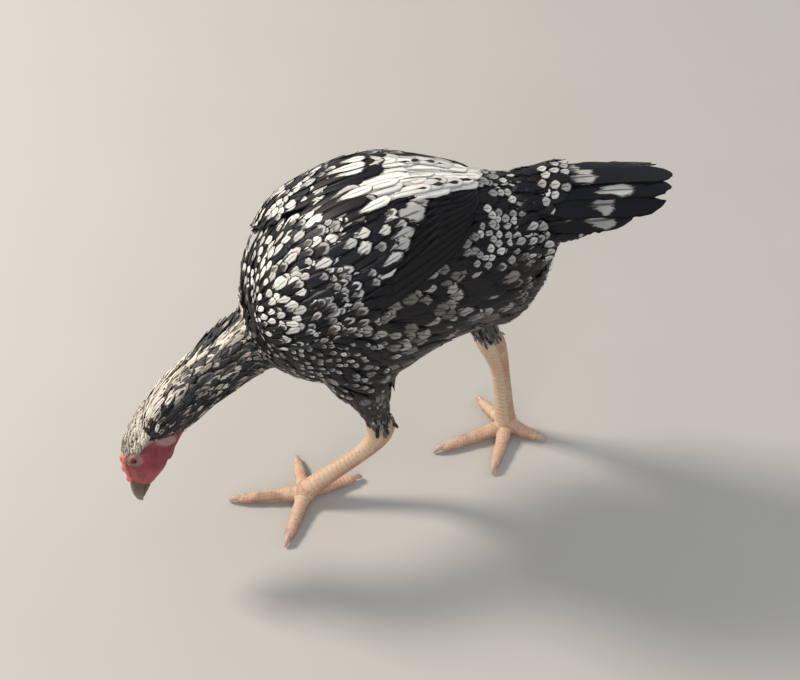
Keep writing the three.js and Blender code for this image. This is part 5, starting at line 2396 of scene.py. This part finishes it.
@dataclass(frozen=True)
class LegFinish(Finish):
    """Scaled legs: pinkish buff, yellower on the broad scales, with dirt, dusky toe bands, and painted shade
    in the seams between scales.
    """

    pink: Triple = (0.56, 0.29, 0.20)
    buff: Triple = (0.60, 0.41, 0.27)
    horn: Triple = (0.60, 0.45, 0.29)
    # a dusky brown for dirt and the toe bands, also used as painted shade in the seams between scales
    dusky_and_seam_shade: Triple = (0.20, 0.105, 0.07)

    def paint(self, nodes: Nodes) -> dict[str, Flow]:
        """Broad scales from the stored numbers, small round ones as cells between them.

        Args:
            nodes: The material's tree.

        Returns:
            What varies, by the shader's sockets.
        """
        place = nodes.where()
        share, plate, chance, toe = nodes.attribute("leg")
        broad = nodes.noise(place, 60.0, 3.0)
        fine = nodes.noise(place, 500.0, 3.0, 0.6)
        small = nodes.cells(place, 520.0, "DISTANCE_TO_EDGE")
        # painted shade: darker at the overlapping end of each broad scale and round the edges of the small
        # scales, where shade falls
        seam_shade = share.step(0.74, 0.96) * plate + (1.0 - small.step(0.02, 0.14)) * (1.0 - plate) * 0.6
        skin = nodes.mixed(broad.step(0.35, 0.65), self.pink, self.buff)
        scale = nodes.mixed((chance * 0.6 + broad * 0.4).step(0.2, 0.8), self.buff, self.horn)
        colour = nodes.mixed(plate * (0.75 - toe * 0.35), skin, scale)
        colour = nodes.mixed((fine.step(0.52, 0.75) * 0.35 + seam_shade * 0.75).clamp(), colour, self.dusky_and_seam_shade)
        bands = nodes.noise(place, 42.0, 2.0).step(0.56, 0.68) * toe
        colour = nodes.mixed(bands * 0.55, colour, self.dusky_and_seam_shade)
        height = small.step(0.0, 0.25) * (1.0 - plate) * 0.8 + fine * 0.35
        height = height - share.step(0.9, 1.0) * plate * 0.3
        rough, bump = 0.5 + fine * 0.25, nodes.bump(height, 0.0004, 0.8)
        return {"Base Color": colour, "Roughness": rough, "Normal": bump}


@dataclass(frozen=True)
class HornFinish(Finish):
    """Horn that runs from a base colour to a tip colour along the piece's own stored numbers."""

    base: Triple = (0.085, 0.055, 0.032)
    tip: Triple = (0.20, 0.145, 0.085)
    worn: Triple = (0.05, 0.035, 0.025)
    streak: float = 0.5

    def paint(self, nodes: Nodes) -> dict[str, Flow]:
        """Streaks along the horn, worn towards its tip.

        Args:
            nodes: The material's tree.

        Returns:
            What varies, by the shader's sockets.
        """
        place = nodes.where()
        along = nodes.attribute("horn")[0]
        broad = nodes.noise(place, 260.0, 3.0)
        fine = nodes.noise(place, 1400.0, 2.0)
        colour = nodes.mixed((along + (broad - 0.5) * self.streak).clamp(), self.base, self.tip)
        colour = nodes.mixed(fine.step(0.5, 0.8) * 0.3, colour, self.worn)
        rough, bump = 0.38 + broad * 0.25, nodes.bump(fine + broad, 0.0001, 0.5)
        return {"Base Color": colour, "Roughness": rough, "Normal": bump}


@dataclass(frozen=True)
class EyeFinish(Finish):
    """The eyeball: a round pupil in a brown iris with a darker rim, wet all over."""

    pupil: Triple = (0.002, 0.002, 0.002)
    deep: Triple = (0.020, 0.008, 0.004)
    iris: Triple = (0.10, 0.036, 0.014)
    rim: Triple = (0.012, 0.006, 0.004)

    def paint(self, nodes: Nodes) -> dict[str, Flow]:
        """Rings by distance from the middle of the iris, which the piece stores, and fine spokes.

        Args:
            nodes: The material's tree.

        Returns:
            What varies, by the shader's sockets.
        """
        out, spoke, _, _ = nodes.attribute("eye")
        fibres = nodes.noise(nodes.vector(spoke * 9.0, out * 1.5), 3.0, 2.0)
        iris = nodes.ramp(fibres + (out - 0.5) * 0.3, (0.2, self.deep), (0.8, self.iris))
        colour = nodes.mixed(out.step(0.44, 0.52), self.pupil, iris)
        return {"Base Color": nodes.mixed(out.step(0.86, 0.96), colour, self.rim)}


@dataclass(frozen=True)
class FloorFinish(Finish):
    """The plain pale floor of the stage."""

    def paint(self, nodes: Nodes) -> dict[str, Flow]:
        """One pale warm grey, a very little uneven."""
        broad = nodes.noise(nodes.where(), 9.0, 2.0)
        return {"Base Color": nodes.mixed(broad, (0.46, 0.43, 0.39), (0.48, 0.45, 0.41))}


# ---- Bill, comb, eyes and claws -----------------------------------------------------------------


@dataclass
class Bill:
    """The two halves of the bill, in the head's frame."""

    head: Head
    # back from the tip, half width, rise of the ridge, depth of the edge
    upper: Rows = (
        (0.0, 0.5, -0.6, 2.6), (0.8, 1.5, 0.9, 2.4), (2, 2.6, 2.4, 2.1), (4, 3.9, 4.3, 1.5),
        (9, 6.0, 7.4, 0.4), (16, 7.6, 9.4, -0.4), (24, 8.0, 9.8, -0.4),
    )
    lower: Rows = (
        (2.6, 0.6, -1.7, 2.4), (3.6, 2.0, -1.3, 3.2), (9, 4.4, -0.9, 4.9), (16, 6.2, -0.7, 6.6),
        (24, 6.8, -0.7, 7.2),
    )

    def half(self, stations: Rows, arch: float, tuck: float) -> Form:
        """One half: rings whose top is a roof with a soft ridge and whose underside is flat.

        The height at angle a round the ring is the rise times sin(a) to the power of arch above, and the
        depth times sin(a) below. The width is the half width times cos(a).

        Args:
            stations: Its sizes, back from the tip.
            arch: Below 1 is rounder than an oval, above 1 has a sharper ridge.
            tuck: How far the cutting edge is drawn down over the other half.

        Returns:
            The half.
        """
        start, end = stations[0][0], stations[-1][0]
        back = start + (end - start) * np.linspace(0, 1, 46)[:, None] ** 1.6
        width, rise, depth = np.moveaxis(through(stations, back), -1, 0)
        sine, cosine = np.sin(around(40)), np.cos(around(40))
        up = np.where(sine > 0, np.abs(sine) ** arch, 0)
        down = np.where(sine < 0, np.abs(sine) ** 0.8, 0)
        height = (rise + depth) * up - depth - tuck * down * 0.5 - 0.7 * np.abs(cosine) ** 6 * tuck
        return tube(self.head.at(together(back, height, width * np.sign(cosine) * np.abs(cosine) ** 0.9)))

    def dress(self, workshop: Workshop, finish: Material) -> list[Piece]:
        """Makes the two halves, the upper one with nostrils.

        Args:
            workshop: Makes the meshes.
            finish: The horn.

        Returns:
            The pieces, the upper half first.
        """
        upper, lower = self.half(self.upper, 0.8, 0.9), self.half(self.lower, 0.45, 0.0)
        back, rise, left = self.head.local(upper.places).T
        across, up = (back - 14.2) / 2.6, (rise - 4.6) / 1.3
        raised = 0.45 * bell(np.hypot(across, up - 0.2) - 1.7, 0.5) - 1.5 * bell(np.hypot(across, up), 1.0)
        upper.places = upper.places + upper.outward() * (raised * (np.abs(left) > 2.5))[:, None]
        local, table = self.head.local(lower.places), np.array(self.lower)
        both = np.interp(local[:, 0], table[:, 0], table[:, 2] - table[:, 3])
        local[:, 1] = both - local[:, 1]
        lower = Form(self.head.at(local), lower.faces[:, [1, 0, 3, 2]])
        pieces = []
        for name, form in (("bill_upper", upper), ("bill_lower", lower)):
            pieces.append(workshop.piece(name, form, [finish]))
            paint(pieces[-1], "horn", *[ease(18, 0, self.head.local(form.places)[:, 0])] * 4)
        return pieces


@dataclass
class Comb:
    """A pea comb: three low rows of knobs over the forehead, the middle row highest."""

    head: Head
    start: float = 19.0
    end: float = 40.5
    height: float = 4.6
    rows: Rows = ((-2.7, 0.66), (0.0, 1.0), (2.7, 0.66))  # place to the left, height
    knobs: int = 3

    def dress(self, workshop: Workshop, finish: Material) -> Piece:
        """Makes the comb as one net of overlapping knobs.

        Args:
            workshop: Makes the mesh.
            finish: Its skin.

        Returns:
            The piece.
        """
        rng = np.random.default_rng(9)
        forms, axes = [], self.head.axes()
        for left, high in self.rows:
            for number, place in enumerate(np.linspace(self.start + 1.5, self.end - 2.5, self.knobs)):
                tall = self.height * high * (1.0 if number == self.knobs // 2 else 0.82)
                middle = np.array([place, self.surface(place, left) - 1.4 + tall * 0.32, left])
                radii = 3.9, tall * 0.78, 2.1 if left else 2.3
                forms.append(ball(self.head.at(middle), axes, radii, 20, 22))
                for _ in range(3):
                    turn, lean = rng.uniform(0, TURN), rng.uniform(0.3, 0.9)
                    rise = tall * 0.62 * math.sqrt(1 - lean**2)
                    place = middle + (math.cos(turn) * lean * 3.4, rise, math.sin(turn) * lean * 1.9)
                    forms.append(ball(self.head.at(place), axes, [rng.uniform(0.9, 1.3)] * 3, 10, 12))
            line = [[b, self.surface(b, left) + 0.4, left] for b in np.linspace(self.start, self.end, 5)]
            size = lambda t: (2.0 * np.sin(np.pi * (0.08 + 0.84 * t)))[:, None] * np.ones(2)
            forms.append(swept(Path(self.head.at(line)), size, (0, 0, 1), 24, 16))
        return workshop.piece("comb_peas", workshop.shrunk(forms, 0.4).smoothed(7), [finish])

    def surface(self, back: float, left: float) -> float:
        """The rise of the bare head under a place of the comb."""
        width, rise, _ = through(self.head.stations, back)
        return float(rise * math.sqrt(max(0.05, 1 - (left / max(width, 4.5)) ** 2)))


@dataclass
class Eye:
    """One eyeball, looking out, a little forward and up."""

    head: Head
    side: int
    iris: float = 3.0

    def dress(self, workshop: Workshop, name: str, finish: Material) -> Piece:
        """Makes the eyeball, with each point's distance from the middle of the iris.

        Args:
            workshop: Makes the mesh.
            name: The piece's name.
            finish: Its surface.

        Returns:
            The piece.
        """
        middle, frame = self.head.eye_frame(self.side)
        form = ball(middle, frame, self.head.eye_radii, 48, 48)
        ahead, beside, across = ((form.places - middle) @ frame.T).T
        out = np.where(ahead > 0, np.minimum(np.hypot(beside, across) / self.iris, 1), 1.0)
        turn = np.abs(np.arctan2(beside, across)) / math.pi
        piece = workshop.piece(name, form, [finish])
        paint(piece, "eye", out, turn, turn, turn)
        return piece


# ---- Stage --------------------------------------------------------------------------------------


@dataclass
class Stage:
    """The floor, the light and the camera of the picture."""

    elevation: float = 48.0
    azimuth: float = -13.0
    distance: float = 1.6
    sensor: float = 36.0
    # focal length, and the shift of the aim to the right and up, where the picture is 800 wide
    width: float = 800.0
    focal: float = 1808.0
    shift: Span = (-3.0, 120.0)
    size: Triple = (3.0, 3.0, 0.02)  # half the floor's sides, and its thickness
    sky: Triple = (0.80, 0.86, 0.95)
    sky_strength: float = 0.55
    aim_height: float = 0.16  # height of the place that the lamps face
    # direction, distance, side, watts and colour of each lamp
    lamps: dict[str, tuple[Triple, float, float, float, Triple]] = field(
        default_factory=lambda: {
            "key": ((-0.649, 0.399, 0.648), 2.4, 0.5, 62, (1.0, 0.93, 0.83)),
            "fill": ((-0.35, -0.8, 0.55), 2.6, 1.8, 21, (0.90, 0.95, 1.0)),
            "rim": ((0.8, 0.2, 0.6), 2.6, 1.5, 9, (1.0, 0.97, 0.93)),
        }
    )

    def build(self, workshop: Workshop, floor: Material) -> Piece:
        """Sets the floor, lights, world and camera.

        Args:
            workshop: Places the camera in the CAD frame.
            floor: The floor's material.

        Returns:
            The floor.
        """
        scene = bpy.context.scene
        centre = Vector(workshop.to_frame(np.zeros(3)))
        for name, (way, away, size, watts, colour) in self.lamps.items():
            data = bpy.data.lights.new(name, "AREA")
            data.size, data.energy, data.color = size, watts, colour
            way = Vector(way).normalized()
            place = centre + Vector((0, 0, self.aim_height)) + way * away
            self.stand(bpy.data.objects.new(name, data), place, way)
        world = bpy.data.worlds.new("world")
        world.use_nodes = True
        inputs = world.node_tree.nodes["Background"].inputs
        inputs["Color"].default_value, inputs["Strength"].default_value = (*self.sky, 1), self.sky_strength
        scene.world = world
        scene.view_settings.view_transform = "Standard"
        e, a = math.radians(self.elevation), math.radians(self.azimuth)
        back = Vector((math.sin(a) * math.cos(e), -math.cos(a) * math.cos(e), math.sin(e)))
        right = Vector((math.cos(a), math.sin(a), 0))
        camera = bpy.data.objects.new("camera", bpy.data.cameras.new("camera"))
        camera.data.sensor_width, camera.data.lens = self.sensor, self.focal / self.width * self.sensor
        across, up = (shift / self.focal for shift in self.shift)
        place = (back + right * across + back.cross(right) * up) * self.distance
        self.stand(camera, place + centre, back)
        scene.camera = camera
        return self.floor(centre, floor)

    def floor(self, centre: Vector, finish: Material) -> Piece:
        """The floor under the bird, a flat box.

        Args:
            centre: The middle of its top.
            finish: Its material.

        Returns:
            The floor.
        """
        round_about = ((-1, -1), (1, -1), (1, 1), (-1, 1))
        corners = np.array([[x, y, z] for z in (-1, 0) for x, y in round_about], float)
        sides = [(0, 3, 2, 1), (4, 5, 6, 7)] + [(i, (i + 1) % 4, (i + 1) % 4 + 4, i + 4) for i in range(4)]
        mesh = bpy.data.meshes.new("floor")
        mesh.from_pydata((corners * self.size + np.array(centre) * (1, 1, 0)).tolist(), [], sides)
        mesh.materials.append(finish)
        ground = bpy.data.objects.new("floor", mesh)
        bpy.context.scene.collection.objects.link(ground)
        return ground

    @staticmethod
    def stand(thing: Piece, place: Vector, back: Vector) -> None:
        """Puts a lamp or camera at a place, turned so that back is behind it."""
        thing.matrix_world = Matrix.Translation(place) @ back.to_track_quat("Z", "Y").to_matrix().to_4x4()
        bpy.context.scene.collection.objects.link(thing)


# ---- Assembly -----------------------------------------------------------------------------------


def stand_for(piece: Piece, slot: str, *nodes: str) -> None:
    """Fixes a piece to the bird and reports it.

    Args:
        piece: The piece.
        slot: Not used.
        nodes: The CAD nodes that it takes the place of.
    """
    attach(piece, "root")
    if nodes:
        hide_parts(*nodes)
    log.info("%s in place of %s", piece.name, ", ".join(nodes) or "nothing")


def fit_head(workshop: Workshop, head: Head) -> None:
    """Adds the bill, comb and eyes.

    Args:
        workshop: Makes the meshes.
        head: The head that they are on.
    """
    horn = HornFinish("bill_horn", coat=0.15).material()
    upper, lower = Bill(head).dress(workshop, horn)
    stand_for(upper, "horn", "beak_upper")
    stand_for(lower, "horn", "beak_lower")
    red, pale = (0.44, 0.085, 0.07), (0.62, 0.24, 0.19)
    comb = CombFinish("comb_skin", subsurface=0.1, red=red, pale=pale).material()
    stand_for(Comb(head).dress(workshop, comb), "comb", "comb")
    iris = EyeFinish("eye_surface", roughness=0.16, specular=0.3, coat=0.3, coat_roughness=0.03).material()
    for name, side in SIDES.items():
        stand_for(Eye(head, side).dress(workshop, f"eyeball_{name}", iris), "eye", f"eye_{name}")


def fit_claws(workshop: Workshop, legs: dict[str, Leg]) -> None:
    """Adds the claws.

    Args:
        workshop: Makes the meshes.
        legs: The legs that they are on.
    """
    claw = HornFinish("claw_horn", base=(0.58, 0.37, 0.28), tip=(0.46, 0.32, 0.25), coat=0.1).material()
    for side, leg in legs.items():
        for toe in leg.toes:
            form = leg.claw_form(toe)
            piece = workshop.piece(f"claw_horn_{toe}_{side}", form, [claw])
            reach = np.linalg.norm(form.places - leg.toe_line(toe).at(1.0), axis=1)
            paint(piece, "horn", *[ease(1, 9, reach)] * 4)
            stand_for(piece, "claw", f"claw_{toe}_{side}")


def fit_coat(plumage: Plumage, torso: Torso, lie: Lie, wings: dict[str, Wing]) -> None:
    """Adds the feathers, with warmer ones on the head and neck.

    Args:
        plumage: Makes the feathers of the body.
        torso: The trunk that they are on.
        lie: The direction that they lie in, with the head, neck and legs.
        wings: The wings that they are on.
    """
    warm = {"grey": (0.20, 0.155, 0.12), "silver": (0.47, 0.40, 0.32), "cream": (0.86, 0.79, 0.66)}
    warm = FeatherFinish("hackles", specular=0.35, **warm).material()
    hackle = Plumage(plumage.workshop, plumage.ground, warm)
    stand_for(HeadCoat(lie.head, lie).dress(hackle), "hackle")
    stand_for(NeckCoat(lie.neck, lie).dress(hackle), "hackle")
    for piece in BodyCoat(torso, lie, wings).dress(plumage):
        stand_for(piece, "feathers")
    stand_for(ThighCoat(lie.legs, lie).dress(plumage), "feathers")
    left = (
        (0.80, 0.44, 13, 8.5), (0.68, 0.55, 8, 6), (0.56, 0.38, 6, 5), (0.55, 0.47, 6, 5.5),
        (0.62, 0.44, 5, 4.5), (0.49, 0.40, 5, 4.5), (0.63, 0.72, 9, 4.5), (0.68, 0.65, 9, 4.5),
        (0.73, 0.58, 9, 4.5),
    )
    right = ((0.66, 0.10, 13, 8), (0.33, 0.06, 8, 4.5), (0.7, 0.5, 8, 6), (0.62, 0.4, 6, 5))
    for (name, wing), pale, bold in zip(wings.items(), (1.0, 0.85), (left, right)):
        for piece in WingCoat(wing, name, pale, bold).dress(plumage):
            stand_for(piece, "feathers", f"wing_{name}")
    for piece in TailCoat().dress(plumage):
        stand_for(piece, "feathers", "tail")


def main() -> None:
    """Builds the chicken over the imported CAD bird."""
    logging.basicConfig(level=logging.INFO, format="%(name)s: %(message)s")
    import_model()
    workshop = Workshop.from_frame()
    torso, neck, head, legs = Torso(), Neck(), Head(), Leg.pair()
    wings = {"left": Wing(torso, -1), "right": Wing(torso, 1, back=9.0)}
    under = UnderCoatFinish("under_coat", roughness=0.9, specular=0.2).material()
    face = FaceFinish("face_skin", subsurface=0.12).material()
    scales = LegFinish("leg_scales", subsurface=0.05).material()
    skin = Skin(torso, neck, head, wings, legs).build(workshop, [under, face, scales])
    limbs = [f"{part}_{side}" for side in legs for part in ("thigh", "shank")]
    toes = [f"toe_{toe}_{side}" for side in legs for toe in legs[side].toes]
    stand_for(skin, "face", "trunk", "neck", "head", *limbs, *toes)
    fit_head(workshop, head)
    fit_claws(workshop, legs)
    feathers = FeatherFinish("feathers", specular=0.2).material()
    plumage = Plumage(workshop, Ground(workshop, skin), feathers)
    fit_coat(plumage, torso, Lie(torso, neck, head, legs), wings)

    floor = Stage().build(workshop, FloorFinish("floor_paint", roughness=0.8).material())


if __name__ == "__main__":
    main()
